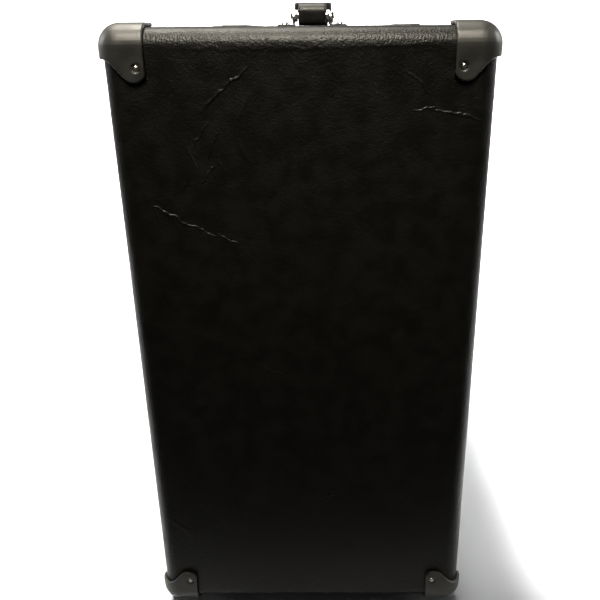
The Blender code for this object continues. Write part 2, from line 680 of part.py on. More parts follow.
def make_chart():
    """The roll chart: bezel, window, two rollers with thumbwheels, and the cradle they turn in."""
    width, height = CHART_WINDOW
    back = PANEL_FRONT - GAP
    outer = rectangle(*CHART_BEZEL, (0, CHART_Z))
    bezel = piece("chart_bezel", prism(outer, "Y", back - 3, back), "chrome")
    cut(bezel, prism(rectangle(width, height, (0, CHART_Z)), "Y", back - 9, back + 9))
    pane = rectangle(width - 2 * GAP, height - 2 * GAP, (0, CHART_Z))
    piece("chart_window", prism(pane, "Y", back - 1.5, back + 1.5), "clear_glass")
    for name, side in (("chart_roller_upper", 1), ("chart_roller_lower", -1)):
        profile = [
            (0, -LUG_X),
            (3, -LUG_X),
            (3, -ROLLER_HALF),
            (ROLLER_RADIUS, -ROLLER_HALF),
            (ROLLER_RADIUS, ROLLER_HALF),
            (3, ROLLER_HALF),
            (3, WHEEL_X - WHEEL_HALF),
            (WHEEL_RADIUS, WHEEL_X - WHEEL_HALF),
            (WHEEL_RADIUS, WHEEL_X + WHEEL_HALF),
            (0, WHEEL_X + WHEEL_HALF),
        ]
        roller = turned(profile, 20)
        bmesh.ops.rotate(roller, cent=(0, 0, 0), matrix=Matrix.Rotation(pi / 2, 3, "Y"), verts=roller.verts)
        piece(name, roller, "bakelite", (0, ROLLER_Y, CHART_Z + side * ROLLER_OFFSET))
    low, high = CHART_Z - 38, CHART_Z + 38
    start = PANEL_BACK + GAP
    plan = [
        (-LUG_X - 2, start),
        (-LUG_X + 4, start),
        (-LUG_X + 4, CRADLE_BACK - 2),
        (LUG_X - 4, CRADLE_BACK - 2),
        (LUG_X - 4, start),
        (LUG_X + 2, start),
        (LUG_X + 2, CRADLE_BACK),
        (-LUG_X - 2, CRADLE_BACK),
    ]
    cradle = piece("chart_cradle", prism(plan, "Z", low, high), "zinc_steel")
    platen = box((-ROLLER_HALF, ROLLER_Y - ROLLER_RADIUS + 0.5, CHART_Z - 10), (ROLLER_HALF, CRADLE_BACK - 1, CHART_Z + 10))
    add(cradle, platen)
    for side in (-1, 1):
        shaft = turned([(0, -200), (3.5, -200), (3.5, 200), (0, 200)], 12)
        bmesh.ops.rotate(shaft, cent=(0, 0, 0), matrix=Matrix.Rotation(pi / 2, 3, "Y"), verts=shaft.verts)
        cut(cradle, moved(shaft, (0, ROLLER_Y, CHART_Z + side * ROLLER_OFFSET)))


# Inside and rear


def make_chassis():
    """The folded steel chassis on the panel's back, and the mains transformer on it."""
    x, start = CHASSIS_X, PANEL_BACK + GAP
    plan = [
        (-x, start),
        (-x + CHASSIS_THICK, start),
        (-x + CHASSIS_THICK, CHASSIS_Y),
        (x - CHASSIS_THICK, CHASSIS_Y),
        (x - CHASSIS_THICK, start),
        (x, start),
        (x, CHASSIS_Y + CHASSIS_THICK),
        (-x, CHASSIS_Y + CHASSIS_THICK),
    ]
    piece("chassis", prism(plan, "Z", CHASSIS_LOW, CHASSIS_HIGH), "zinc_steel")
    cx, cz = TRANSFORMER_AT
    width, deep, tall = TRANSFORMER_CORE
    face = CHASSIS_Y + CHASSIS_THICK + GAP
    core = box((cx - width / 2, face, cz - tall / 2), (cx + width / 2, face + deep, cz + tall / 2))
    unit = piece("power_transformer", core, "laminations")
    coil = rounded_box((cx - 30, face + 4, cz - 29), (cx + 30, face + deep + 16, cz + 29), 6, 2)
    add(unit, coil, box((cx - 62, face, cz - 30), (cx + 62, face + 2.5, cz + 30)))


def make_rear():
    """The louvred back board with its mains inlet and fuse holder."""
    back = REAR_FACE - REAR_THICK
    board = box((-PANEL_X, back, PANEL_LOW), (PANEL_X, REAR_FACE, PANEL_HIGH))
    panel = piece("rear_panel", board, "back_board")
    slots = []
    for x in (-90, 90):
        for i in range(7):
            z = 330 + 16 * i
            slots.append(box((x - 60, back - 5, z), (x + 60, REAR_FACE + 5, z + 6)))
    x, z = INLET_AT
    width, height = INLET_SIZE
    slots.append(box((x - width / 2, back - 5, z - height / 2), (x + width / 2, REAR_FACE + 5, z + height / 2)))
    fuse = turned([(0, -20), (FUSE_BODY + GAP, -20), (FUSE_BODY + GAP, 20), (0, 20)], 12)
    slots.append(facing_front(fuse, (FUSE_AT[0], REAR_FACE, FUSE_AT[1])))
    cut(panel, joined(*slots))
    face = REAR_FACE + GAP
    flange = box((x - 24, face, z - 17), (x + 24, face + 2.5, z + 17))
    inlet = piece("mains_inlet", flange, "bakelite")
    inner_x, inner_z = width / 2 - GAP, height / 2 - GAP
    add(inlet, box((x - inner_x, face - 24, z - inner_z), (x + inner_x, face + 1, z + inner_z)))
    cut(inlet, box((x - inner_x + 2.5, face - 16, z - inner_z + 2.5), (x + inner_x - 2.5, face + 9, z + inner_z - 2.5)))
    for side in (-6, 6):
        pin = turned([(0, -3), (2, -3), (2, 11), (1.2, 12), (0, 12)], 8)
        bmesh.ops.rotate(pin, cent=(0, 0, 0), matrix=Matrix.Rotation(-pi / 2, 3, "X"), verts=pin.verts)
        add(inlet, moved(pin, (x + side, face - 16, z)))
    profile = [(0, -26), (FUSE_BODY, -26), (FUSE_BODY, 0), (9, 0), (9, 2), (7.5, 2.5), (7, 9), (0, 9)]
    holder = turned(profile, 12)
    bmesh.ops.rotate(holder, cent=(0, 0, 0), matrix=Matrix.Rotation(-pi / 2, 3, "X"), verts=holder.verts)
    piece("fuse_holder", moved(holder, (FUSE_AT[0], face, FUSE_AT[1])), "bakelite")


def main():
    """Builds the whole tester."""
    for old in list(bpy.data.objects):
        bpy.data.objects.remove(old)
    make_boards()
    make_covering()
    make_corner_protectors()
    make_feet()
    make_vents()
    make_handle()
    make_batten_frames()
    make_panel()
    make_meter()
    make_selectors()
    make_buttons()
    make_toggle()
    make_lamp()
    make_sockets()
    make_chart()
    make_chassis()
    make_rear()


main()
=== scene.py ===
"""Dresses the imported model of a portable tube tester, from its covering to its dials and finishes."""

import json
import logging
import math
from dataclasses import dataclass, field
from enum import Enum
from typing import Callable, Iterable, Sequence

import bmesh
import bpy
from mathutils import Matrix, Vector


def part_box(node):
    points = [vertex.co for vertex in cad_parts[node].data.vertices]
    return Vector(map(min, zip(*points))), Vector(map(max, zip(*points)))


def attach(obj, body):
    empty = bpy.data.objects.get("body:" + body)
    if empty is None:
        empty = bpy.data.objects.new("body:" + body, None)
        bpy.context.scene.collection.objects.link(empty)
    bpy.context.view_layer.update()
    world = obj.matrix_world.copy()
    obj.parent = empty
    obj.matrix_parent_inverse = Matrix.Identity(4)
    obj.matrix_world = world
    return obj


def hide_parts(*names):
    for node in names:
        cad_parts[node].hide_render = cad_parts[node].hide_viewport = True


log = logging.getLogger("tube_tester")
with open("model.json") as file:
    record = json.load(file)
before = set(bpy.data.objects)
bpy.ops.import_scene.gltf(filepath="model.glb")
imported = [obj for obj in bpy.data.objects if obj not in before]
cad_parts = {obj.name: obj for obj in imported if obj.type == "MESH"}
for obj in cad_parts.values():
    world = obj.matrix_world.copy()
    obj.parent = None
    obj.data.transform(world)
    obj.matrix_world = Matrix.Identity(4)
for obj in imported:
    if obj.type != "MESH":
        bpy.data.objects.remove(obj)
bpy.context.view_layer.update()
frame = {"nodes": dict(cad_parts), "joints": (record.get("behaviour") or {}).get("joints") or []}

MM = 0.001
CABINET = "cabinet"
Point = Sequence[float]


class Axis(Enum):
    """The way that a round piece points, as the turn which takes +Z there."""

    UP = (0.0, 0.0)
    FRONT = (math.pi / 2, 0.0)
    REAR = (-math.pi / 2, 0.0)
    LEFT = (0.0, -math.pi / 2)
    RIGHT = (0.0, math.pi / 2)

    def matrix(self) -> Matrix:
        """The rotation that points +Z this way."""
        about_x, about_y = self.value
        return Matrix.Rotation(about_x, 4, "X") @ Matrix.Rotation(about_y, 4, "Y")


class Boolean(Enum):
    """How one solid acts on another."""

    CUT = "DIFFERENCE"
    JOIN = "UNION"
    KEEP = "INTERSECT"


# ---------------------------------------------------------------- modelling bench


def clear_selection() -> None:
    """Leaves nothing selected, so that an operator acts only on what comes next."""
    if bpy.context.object and bpy.context.object.mode != "OBJECT":
        bpy.ops.object.mode_set(mode="OBJECT")
    bpy.ops.object.select_all(action="DESELECT")


class Piece:
    """One piece on the bench. Sizes are millimetres in the frame's own axes."""

    def __init__(self, obj: bpy.types.Object, name: str) -> None:
        """Takes the object that a primitive operator has just added.

        Args:
            obj: the new object.
            name: the piece's name.
        """
        self.obj = obj
        self.obj.name = name
        self.obj.data.name = name

    @classmethod
    def block(cls, name: str, low: Point, high: Point) -> "Piece":
        """A rectangular block between two corners, as a start.

        Args:
            name: the piece's name.
            low: its lowest corner.
            high: its highest corner.

        Returns:
            The new piece.
        """
        clear_selection()
        centre = [(a + b) / 2 * MM for a, b in zip(low, high)]
        bpy.ops.mesh.primitive_cube_add(size=1.0, location=centre)
        obj = bpy.context.object
        obj.scale = [(b - a) * MM for a, b in zip(low, high)]
        bpy.ops.object.transform_apply(location=True, rotation=True, scale=True)
        return cls(obj, name)

    @classmethod
    def lathe(
        cls, name: str, profile: Sequence[Point], at: Point, axis: Axis = Axis.UP, sides: int = 48
    ) -> "Piece":
        """A turned piece: a disc that is extruded and resized from one ring of its profile to the next.

        Args:
            name: the piece's name.
            profile: (radius, height) of each ring. A radius of 0 at an end closes it in a point.
            at: where the profile's zero height goes.
            axis: the way its height runs.
            sides: how many flats a ring has.

        Returns:
            The new piece.
        """
        clear_selection()
        radius, height = profile[0]
        start = max(radius, 0.01)
        bpy.ops.mesh.primitive_circle_add(
            vertices=sides, radius=start * MM, fill_type="NGON", location=(0, 0, height * MM)
        )
        obj = bpy.context.object
        bpy.ops.object.transform_apply(location=True, rotation=True, scale=True)
        bpy.ops.object.mode_set(mode="EDIT")
        bpy.ops.mesh.select_all(action="SELECT")
        for radius, level in profile[1:]:
            step = Vector((0, 0, (level - height) * MM))
            bpy.ops.mesh.extrude_region_move(TRANSFORM_OT_translate={"value": step})
            ratio = max(radius, 0.01) / start
            bpy.ops.transform.resize(value=(ratio, ratio, 1.0))
            start, height = max(radius, 0.01), level
        bpy.ops.mesh.select_all(action="SELECT")
        bpy.ops.mesh.remove_doubles(threshold=1e-6)
        bpy.ops.mesh.normals_make_consistent(inside=False)
        bpy.ops.object.mode_set(mode="OBJECT")
        piece = cls(obj, name)
        return piece.placed(Matrix.Translation(Vector(at) * MM) @ axis.matrix())

    @classmethod
    def outline(cls, name: str, points: Sequence[Point], depth: float, at: Point, axis: Axis) -> "Piece":
        """A flat outline raised into a solid. Its X and Y lie across the axis, and it rises along it.

        Args:
            name: the piece's name.
            points: the outline's corners, in order.
            depth: how far it rises.
            at: where the outline's zero goes.
            axis: the way it rises.

        Returns:
            The new piece.
        """
        clear_selection()
        bpy.ops.mesh.primitive_circle_add(
            vertices=len(points), radius=MM, fill_type="NGON", location=(0, 0, 0)
        )
        obj = bpy.context.object
        for vertex, point in zip(obj.data.vertices, points):
            vertex.co = (point[0] * MM, point[1] * MM, 0.0)
        bpy.ops.object.mode_set(mode="EDIT")
        bpy.ops.mesh.select_all(action="SELECT")
        bpy.ops.mesh.extrude_region_move(TRANSFORM_OT_translate={"value": (0, 0, depth * MM)})
        bpy.ops.mesh.select_all(action="SELECT")
        bpy.ops.mesh.normals_make_consistent(inside=False)
        bpy.ops.object.mode_set(mode="OBJECT")
        return cls(obj, name).placed(Matrix.Translation(Vector(at) * MM) @ axis.matrix())

    def active(self) -> "Piece":
        """Makes this the one selected object."""
        clear_selection()
        self.obj.select_set(True)
        bpy.context.view_layer.objects.active = self.obj
        return self

    def placed(self, matrix: Matrix) -> "Piece":
        """Moves the piece's own points by a matrix, and mends its normals if that mirrors it."""
        self.obj.data.transform(matrix)
        if matrix.determinant() < 0:
            self.obj.data.flip_normals()
        return self

    def turned(self, degrees: float, at: Point, axis: str) -> "Piece":
        """Turns the piece about a line through a point.

        Args:
            degrees: how far, by the right-hand rule.
            at: a point on the line.
            axis: the line's way, X, Y or Z.

        Returns:
            The piece.
        """
        move = Matrix.Translation(Vector(at) * MM)
        return self.placed(move @ Matrix.Rotation(math.radians(degrees), 4, axis) @ move.inverted())

    def edit(self, wanted: Callable[[bmesh.types.BMFace], bool] | None = None) -> "Piece":
        """Enters edit mode with the wanted faces selected, or all of them."""
        self.active()
        bpy.ops.object.mode_set(mode="EDIT")
        bpy.ops.mesh.select_mode(type="FACE")
        mesh = bmesh.from_edit_mesh(self.obj.data)
        for face in mesh.faces:
            face.select_set(wanted is None or wanted(face))
        bmesh.update_edit_mesh(self.obj.data)
        return self

    def edit_edges(self, wanted: Callable[[bmesh.types.BMEdge], bool]) -> "Piece":
        """Enters edit mode with the wanted edges selected."""
        self.active()
        bpy.ops.object.mode_set(mode="EDIT")
        bpy.ops.mesh.select_mode(type="EDGE")
        mesh = bmesh.from_edit_mesh(self.obj.data)
        for edge in mesh.edges:
            edge.select_set(wanted(edge))
        bmesh.update_edit_mesh(self.obj.data)
        return self

    def leave(self) -> "Piece":
        """Goes back to object mode."""
        bpy.ops.object.mode_set(mode="OBJECT")
        return self

    def bevel(
        self, width: float, segments: int = 3, wanted: Callable[[bmesh.types.BMEdge], bool] | None = None
    ) -> "Piece":
        """Rounds edges: those wanted, or every edge sharper than 30 degrees."""
        sharp = math.radians(30)

        def corner(edge: bmesh.types.BMEdge) -> bool:
            return len(edge.link_faces) == 2 and edge.calc_face_angle(0.0) > sharp

        self.edit_edges(wanted or corner)
        bpy.ops.mesh.bevel(offset=width * MM, segments=segments, affect="EDGES", clamp_overlap=True)
        return self.leave()

    def modify(self, kind: str, **settings: object) -> "Piece":
        """Adds a modifier, sets it and applies it."""
        self.active()
        modifier = self.obj.modifiers.new(kind.lower(), kind)
        for key, value in settings.items():
            setattr(modifier, key, value)
        bpy.ops.object.modifier_apply(modifier=modifier.name)
        return self

    def combine(self, how: Boolean, *tools: "Piece") -> "Piece":
        """Cuts, joins or crosses the piece with others, which are used up."""
        for tool in tools:
            self.modify("BOOLEAN", operation=how.value, solver="EXACT", object=tool.obj)
            bpy.data.objects.remove(tool.obj)
        return self

    def merge_in(self, *others: "Piece") -> "Piece":
        """Puts other pieces into this object without joining their surfaces."""
        self.active()
        for other in others:
            other.obj.select_set(True)
        bpy.context.view_layer.objects.active = self.obj
        bpy.ops.object.join()
        return self

    def copy(self, name: str, matrix: Matrix | None = None) -> "Piece":
        """A second piece with its own mesh, moved by a matrix."""
        obj = self.obj.copy()
        obj.data = self.obj.data.copy()
        bpy.context.scene.collection.objects.link(obj)
        return Piece(obj, name).placed(matrix or Matrix.Identity(4))

    def tidy(self) -> "Piece":
        """Merges doubled points and makes the faces point outwards."""
        self.edit()
        bpy.ops.mesh.remove_doubles(threshold=1e-6)
        bpy.ops.mesh.normals_make_consistent(inside=False)
        return self.leave()

    def smooth(self, degrees: float = 35.0) -> "Piece":
        """Shades it smooth, with edges sharper than this left crisp."""
        self.active()
        bpy.ops.object.shade_smooth_by_angle(angle=math.radians(degrees))
        return self

    def done(self, finish: "Finish", body: str = CABINET, replaces: Iterable[str] = ()) -> bpy.types.Object:
        """Gives the piece its finish and hands it to the frame.

        Args:
            finish: what it is made of.
            body: the body that it moves with.
            replaces: the frame nodes that it stands for.

        Returns:
            The finished object.
        """
        self.obj.data.materials.clear()
        self.obj.data.materials.append(finish.material())
        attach(self.obj, body)
        names = list(replaces)
        if names:
            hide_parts(*names)
        log.info("%s: %d faces on %s", self.obj.name, len(self.obj.data.polygons), body)
        return self.obj


# ---------------------------------------------------------------- finishes

Colour = tuple[float, float, float]


@dataclass(frozen=True)
class Relief:
    """One layer of surface relief. Size and depth are millimetres.

    Attributes:
        size: how far apart its bumps are.
        depth: how deep they are.
        cells: whether they are pebbles and not clouds.
        stretch: how much longer they are along X, Y and Z.
    """

    size: float
    depth: float
    cells: bool = False
    stretch: Colour = (1.0, 1.0, 1.0)


@dataclass(frozen=True)
class Finish:
    """What a piece is made of, as a procedural material.

    Attributes:
        slot: the record's material slot; not used.
        name: the material's name.
        colour: its main colour.
        second: a second colour that clouds through it.
        cloud: how wide those clouds are, in millimetres.
        cloud_stretch: how much longer they are along X, Y and Z.
        rough: its lowest and highest roughness.
        metallic: 1 for bare metal.
        reliefs: its layers of relief.
        coat: the weight of a clear coat.
        clear: how much light passes through.
        specular: the shader's specular level.
        sheen_tint: the colour of its reflections.
    """

    slot: str
    name: str
    colour: Colour
    second: Colour
    cloud: float = 30.0
    cloud_stretch: Colour = (1.0, 1.0, 1.0)
    rough: tuple[float, float] = (0.4, 0.5)
    metallic: float = 0.0
    reliefs: tuple[Relief, ...] = ()
    coat: float = 0.0
    clear: float = 0.0
    specular: float = 0.5
    sheen_tint: Colour = (1.0, 1.0, 1.0)

    def material(self) -> bpy.types.Material:
        """The material, made the first time that it is asked for."""
        found = bpy.data.materials.get(self.name)
        if found:
            return found
        made = bpy.data.materials.new(self.name)
        made.use_nodes = True
        bench = NodeBench(made)
        shader = bench.shader
        shader.inputs["Metallic"].default_value = self.metallic
        shader.inputs["Coat Weight"].default_value = self.coat
        shader.inputs["Coat Roughness"].default_value = 0.12
        shader.inputs["Transmission Weight"].default_value = self.clear
        shader.inputs["Specular IOR Level"].default_value = self.specular
        shader.inputs["Specular Tint"].default_value = (*self.sheen_tint, 1.0)
        clouds = bench.clouds(self.cloud, self.cloud_stretch)
        bench.link(self.tint(bench, clouds), shader.inputs["Base Color"])
        low, high = self.rough
        bench.link(bench.spread(clouds, 0.3, 0.7, low, high), shader.inputs["Roughness"])
        bench.relief(self.reliefs, self.extra_relief(bench))
        return made

    def tint(self, bench: "NodeBench", clouds: bpy.types.NodeSocket) -> bpy.types.NodeSocket:
        """The colour at each point, from the clouds."""
        return bench.mix(bench.spread(clouds, 0.35, 0.65, 0.0, 1.0), self.colour, self.second)

    def extra_relief(self, bench: "NodeBench") -> list[tuple[bpy.types.NodeSocket, float]]:
        """Further heights from 0 to 1 with their depths in millimetres."""
        return []


class NodeBench:
    """Builds a material's nodes on Object coordinates."""

    def __init__(self, material: bpy.types.Material) -> None:
        """Starts from the material's own shader.

        Args:
            material: the material that the nodes go into.
        """
        self.tree = material.node_tree
        self.shader = self.tree.nodes["Principled BSDF"]
        self.place = self.node("ShaderNodeTexCoord").outputs["Object"]

    def node(self, kind: str, **settings: object) -> bpy.types.Node:
        """A new node with its properties set."""
        made = self.tree.nodes.new(kind)
        for key, value in settings.items():
            setattr(made, key, value)
        return made

    def link(self, source: bpy.types.NodeSocket, target: bpy.types.NodeSocket) -> None:
        """Joins an output to an input."""
        self.tree.links.new(source, target)

    def scaled(self, size: float, stretch: Colour) -> bpy.types.NodeSocket:
        """Coordinates in which a pattern of one unit is this many millimetres."""
        mapping = self.node("ShaderNodeMapping")
        self.link(self.place, mapping.inputs["Vector"])
        mapping.inputs["Scale"].default_value = [1.0 / (size * MM * s) for s in stretch]
        return mapping.outputs["Vector"]

    def clouds(
        self, size: float, stretch: Colour = (1.0, 1.0, 1.0), detail: float = 4.0
    ) -> bpy.types.NodeSocket:
        """Soft noise of that size in millimetres."""
        noise = self.node("ShaderNodeTexNoise")
        noise.inputs["Scale"].default_value = 1.0
        noise.inputs["Detail"].default_value = detail
        self.link(self.scaled(size, stretch), noise.inputs["Vector"])
        return noise.outputs["Fac"]

    def pebbles(self, size: float, stretch: Colour = (1.0, 1.0, 1.0)) -> bpy.types.NodeSocket:
        """Rounded cells of that size in millimetres."""
        cells = self.node("ShaderNodeTexVoronoi", feature="SMOOTH_F1")
        cells.inputs["Scale"].default_value = 1.0
        cells.inputs["Smoothness"].default_value = 0.6
        self.link(self.scaled(size, stretch), cells.inputs["Vector"])
        return self.maths("SUBTRACT", 1.0, cells.outputs["Distance"])

    def maths(self, how: str, a: object, b: object = 0.0) -> bpy.types.NodeSocket:
        """A sum of two sockets or numbers."""
        made = self.node("ShaderNodeMath", operation=how)
        for value, target in zip((a, b), made.inputs):
            if isinstance(value, bpy.types.NodeSocket):
                self.link(value, target)
            else:
                target.default_value = value
        return made.outputs[0]

    def spread(
        self, value: bpy.types.NodeSocket, low: float, high: float, to_low: float, to_high: float
    ) -> bpy.types.NodeSocket:
        """Maps one span of a value smoothly on another."""
        made = self.node("ShaderNodeMapRange", interpolation_type="SMOOTHSTEP")
        self.link(value, made.inputs["Value"])
        for name, number in zip(("From Min", "From Max", "To Min", "To Max"), (low, high, to_low, to_high)):
            made.inputs[name].default_value = number
        return made.outputs["Result"]

    def mix(self, factor: bpy.types.NodeSocket, a: object, b: object) -> bpy.types.NodeSocket:
        """Mixes two colours, each a socket or three numbers."""
        made = self.node("ShaderNodeMix", data_type="RGBA")
        self.link(factor, made.inputs[0])
        for value, target in ((a, made.inputs[6]), (b, made.inputs[7])):
            if isinstance(value, bpy.types.NodeSocket):
                self.link(value, target)
            else:
                target.default_value = (*value, 1.0)
        return made.outputs[2]

    def relief(
        self, layers: Iterable[Relief], more: Iterable[tuple[bpy.types.NodeSocket, float]] = ()
    ) -> None:
        """Chains bump layers into the shader's normal.

        Args:
            layers: layers of relief.
            more: further heights from 0 to 1 with their depths in millimetres.
        """
        heights = [
            (self.pebbles(r.size, r.stretch) if r.cells else self.clouds(r.size, r.stretch), r.depth)
            for r in layers
        ]
        normal = None
        for height, depth in [*heights, *more]:
            bump = self.node("ShaderNodeBump")
            bump.inputs["Distance"].default_value = depth * MM
            self.link(height, bump.inputs["Height"])
            if normal:
                self.link(normal, bump.inputs["Normal"])
            normal = bump.outputs["Normal"]
        if normal:
            self.link(normal, self.shader.inputs["Normal"])


@dataclass(frozen=True)
class Fold:
    """A fold or wrinkle of the covering on one end of the cabinet. Lengths are millimetres.

    Attributes:
        at: its middle, along Y and Z.
        turn: how far it leans from upright, in degrees.
        length: its length.
        width: its width.
        depth: its depth.
    """

    at: tuple[float, float]
    turn: float
    length: float
    width: float
    depth: float


FOLDS = (
    Fold((52.0, 461.0), 50.0, 52.0, 1.6, 0.45),
    Fold((70.0, 431.0), 34.0, 26.0, 1.2, 0.4),
    Fold((62.0, 424.0), 22.0, 30.0, 1.1, 0.35),
    Fold((76.0, 414.0), -24.0, 20.0, 1.1, 0.35),
    Fold((66.0, 404.0), 40.0, 26.0, 1.2, 0.35),
    Fold((56.0, 408.0), -12.0, 24.0, 1.1, 0.3),
    Fold((82.0, 398.0), 18.0, 18.0, 1.1, 0.3),
    Fold((95.0, 374.0), -62.0, 36.0, 1.3, 0.45),
    Fold((74.0, 363.0), -64.0, 30.0, 1.2, 0.4),
    Fold((55.0, 356.0), -56.0, 22.0, 1.1, 0.35),
    Fold((-105.0, 443.5), -80.0, 44.0, 1.4, 0.4),
    Fold((-84.0, 447.0), 80.0, 22.0, 1.2, 0.3),
    Fold((-80.0, 464.0), -48.0, 30.0, 1.2, 0.25),
    Fold((-84.0, 300.0), 20.0, 30.0, 1.2, 0.2),
    Fold((30.0, 250.0), -62.0, 36.0, 1.3, 0.2),
    Fold((-20.0, 130.0), 74.0, 40.0, 1.3, 0.2),
    Fold((34.0, 486.5), 90.0, 120.0, 2.6, 0.14),
    Fold((-44.0, 487.5), 88.0, 110.0, 2.6, 0.14),
)


@dataclass(frozen=True)
class CoveringVinyl(Finish):
    """Leather-grain vinyl cloth with folds where it was pulled round the boards."""

    crease: float = 120.0
    crease_depth: float = 0.2

    def extra_relief(self, bench: NodeBench) -> list[tuple[bpy.types.NodeSocket, float]]:
        """Thin raised creases along the contours of a wide noise, and the folds of one end."""
        wide = bench.clouds(self.crease, detail=1.5)
        off = bench.maths("ABSOLUTE", bench.maths("SUBTRACT", wide, 0.5))
        line = bench.spread(off, 0.0, 0.012, 1.0, 0.0)
        patch = bench.spread(bench.clouds(90.0, (1.0, 1.0, 0.7), 1.0), 0.52, 0.62, 0.0, 1.0)
        waver = bench.maths("MULTIPLY", bench.maths("SUBTRACT", bench.clouds(9.0, detail=2.0), 0.5), 7.0 * MM)
        total: bpy.types.NodeSocket | float = 0.0
        for fold in FOLDS:
            total = bench.maths(
                "ADD", total, bench.maths("MULTIPLY", self.fold(bench, fold, waver), fold.depth)
            )
        return [(bench.maths("MULTIPLY", line, patch), self.crease_depth), (total, 1.0)]

    @staticmethod
    def fold(bench: NodeBench, fold: Fold, waver: bpy.types.NodeSocket) -> bpy.types.NodeSocket:
        """One wavering ridge that fades towards its ends.

        Args:
            bench: the material's bench.
            fold: where and how big it is.
            waver: how far its line strays from straight at each point, in metres.

        Returns:
            its height, from 0 to 1.
        """
        across, up = fold.at
        mapping = bench.node("ShaderNodeMapping", vector_type="TEXTURE")
        bench.link(bench.place, mapping.inputs["Vector"])
        mapping.inputs["Location"].default_value = (-0.218, across * MM, up * MM)
        mapping.inputs["Rotation"].default_value = (math.radians(fold.turn), 0.0, 0.0)
        split = bench.node("ShaderNodeSeparateXYZ")
        bench.link(mapping.outputs["Vector"], split.inputs[0])
        side = bench.maths("ABSOLUTE", bench.maths("ADD", split.outputs["Y"], waver))
        ridge = bench.spread(side, 0.0, fold.width * MM, 1.0, 0.0)
        half = fold.length * MM / 2
        fade = bench.spread(bench.maths("ABSOLUTE", split.outputs["Z"]), half * 0.4, half, 1.0, 0.0)
        near = bench.spread(bench.maths("ABSOLUTE", split.outputs["X"]), 0.004, 0.012, 1.0, 0.0)
        return bench.maths("MULTIPLY", bench.maths("MULTIPLY", ridge, fade), near)


@dataclass(frozen=True)
class Plywood(Finish):
    """Birch board with long grain."""

    def tint(self, bench: NodeBench, clouds: bpy.types.NodeSocket) -> bpy.types.NodeSocket:
        """Long grain lines through the clouds."""
        lines = bench.clouds(3.0, (1.0, 1.0, 30.0), 6.0)
        grain = bench.mix(bench.spread(lines, 0.35, 0.7, 0.0, 1.0), self.colour, self.second)
        return bench.mix(bench.spread(clouds, 0.3, 0.7, 0.0, 0.5), grain, (0.30, 0.19, 0.10))


VINYL = CoveringVinyl(
    "black_vinyl", "covering_vinyl", (0.0016, 0.0015, 0.0011), (0.0024, 0.0022, 0.0017), cloud=14.0,
    rough=(0.36, 0.44), reliefs=(Relief(1.2, 0.16, True), Relief(2.6, 0.26), Relief(9.0, 0.05)),
    specular=0.2, sheen_tint=(1.0, 0.96, 0.86),
)
STRAP_VINYL = Finish(
    "black_vinyl", "strap_vinyl", (0.0045, 0.0042, 0.0035), (0.007, 0.0066, 0.0055), cloud=9.0,
    rough=(0.34, 0.46), reliefs=(Relief(1.1, 0.07, True), Relief(6.0, 0.10)), specular=0.18,
    sheen_tint=(1.0, 0.96, 0.86),
)
MOULDED = Finish(
    "black_plastic", "moulded_black", (0.0100, 0.0094, 0.0080), (0.014, 0.0134, 0.0115), cloud=11.0,
    rough=(0.38, 0.48), reliefs=(Relief(0.8, 0.012), Relief(9.0, 0.05)), specular=0.5,
    sheen_tint=(1.0, 0.96, 0.86),
)
CHROME = Finish(
    "chrome", "worn_chrome", (0.72, 0.71, 0.69), (0.55, 0.53, 0.50), cloud=5.0, rough=(0.10, 0.24),
    metallic=1.0, reliefs=(Relief(1.2, 0.006),),
)
NAIL_STEEL = Finish(
    "chrome", "nail_steel", (0.78, 0.74, 0.64), (0.55, 0.50, 0.40), cloud=2.0, rough=(0.18, 0.32),
    metallic=1.0
)
RUBBER = Finish(
    "rubber", "foot_rubber", (0.012, 0.012, 0.012), (0.022, 0.021, 0.020), cloud=8.0, rough=(0.72, 0.86),
    reliefs=(Relief(0.5, 0.03),),
)
PLYWOOD = Plywood(
    "plywood", "birch_plywood", (0.52, 0.37, 0.21), (0.40, 0.26, 0.13), cloud=60.0, rough=(0.6, 0.75),
    reliefs=(Relief(0.8, 0.03, False, (1.0, 1.0, 20.0)),),
)
PANEL_METAL = Finish(
    "panel_metal", "brushed_panel", (0.50, 0.51, 0.51), (0.42, 0.43, 0.43), cloud=0.7,
    cloud_stretch=(90.0, 1.0, 1.0), rough=(0.28, 0.42), metallic=1.0,
    reliefs=(Relief(0.4, 0.008, False, (120, 1, 1)),),
)
BAKELITE = Finish(
    "bakelite", "black_phenolic", (0.012, 0.010, 0.009), (0.022, 0.014, 0.010), cloud=6.0, rough=(0.16, 0.26),
    coat=0.3, reliefs=(Relief(5.0, 0.02),),
)
DIAL_CARD = Finish(
    "dial_card", "cream_card", (0.74, 0.68, 0.52), (0.66, 0.58, 0.41), cloud=22.0, rough=(0.6, 0.75),
    reliefs=(Relief(0.4, 0.01),),
)
GLASS = Finish(
    "clear_glass", "window_glass", (0.96, 0.98, 0.97), (0.94, 0.97, 0.96), cloud=40.0, rough=(0.0, 0.03),
    clear=1.0
)
NEEDLE_BLACK = Finish(
    "needle_black", "needle_paint", (0.012, 0.012, 0.012), (0.02, 0.02, 0.02), cloud=4.0, rough=(0.45, 0.55)
)
ZINC = Finish(
    "zinc_steel", "zinc_plate", (0.50, 0.50, 0.46), (0.36, 0.35, 0.31), cloud=12.0, rough=(0.32, 0.5),
    metallic=1.0, reliefs=(Relief(1.0, 0.01),),
)
LAMINATIONS = Finish(
    "laminations", "core_laminations", (0.10, 0.09, 0.085), (0.05, 0.045, 0.04), cloud=0.6,
    cloud_stretch=(60.0, 1.0, 60.0), rough=(0.4, 0.6), metallic=0.6,
    reliefs=(Relief(0.5, 0.05, False, (80, 1, 80)),),
)
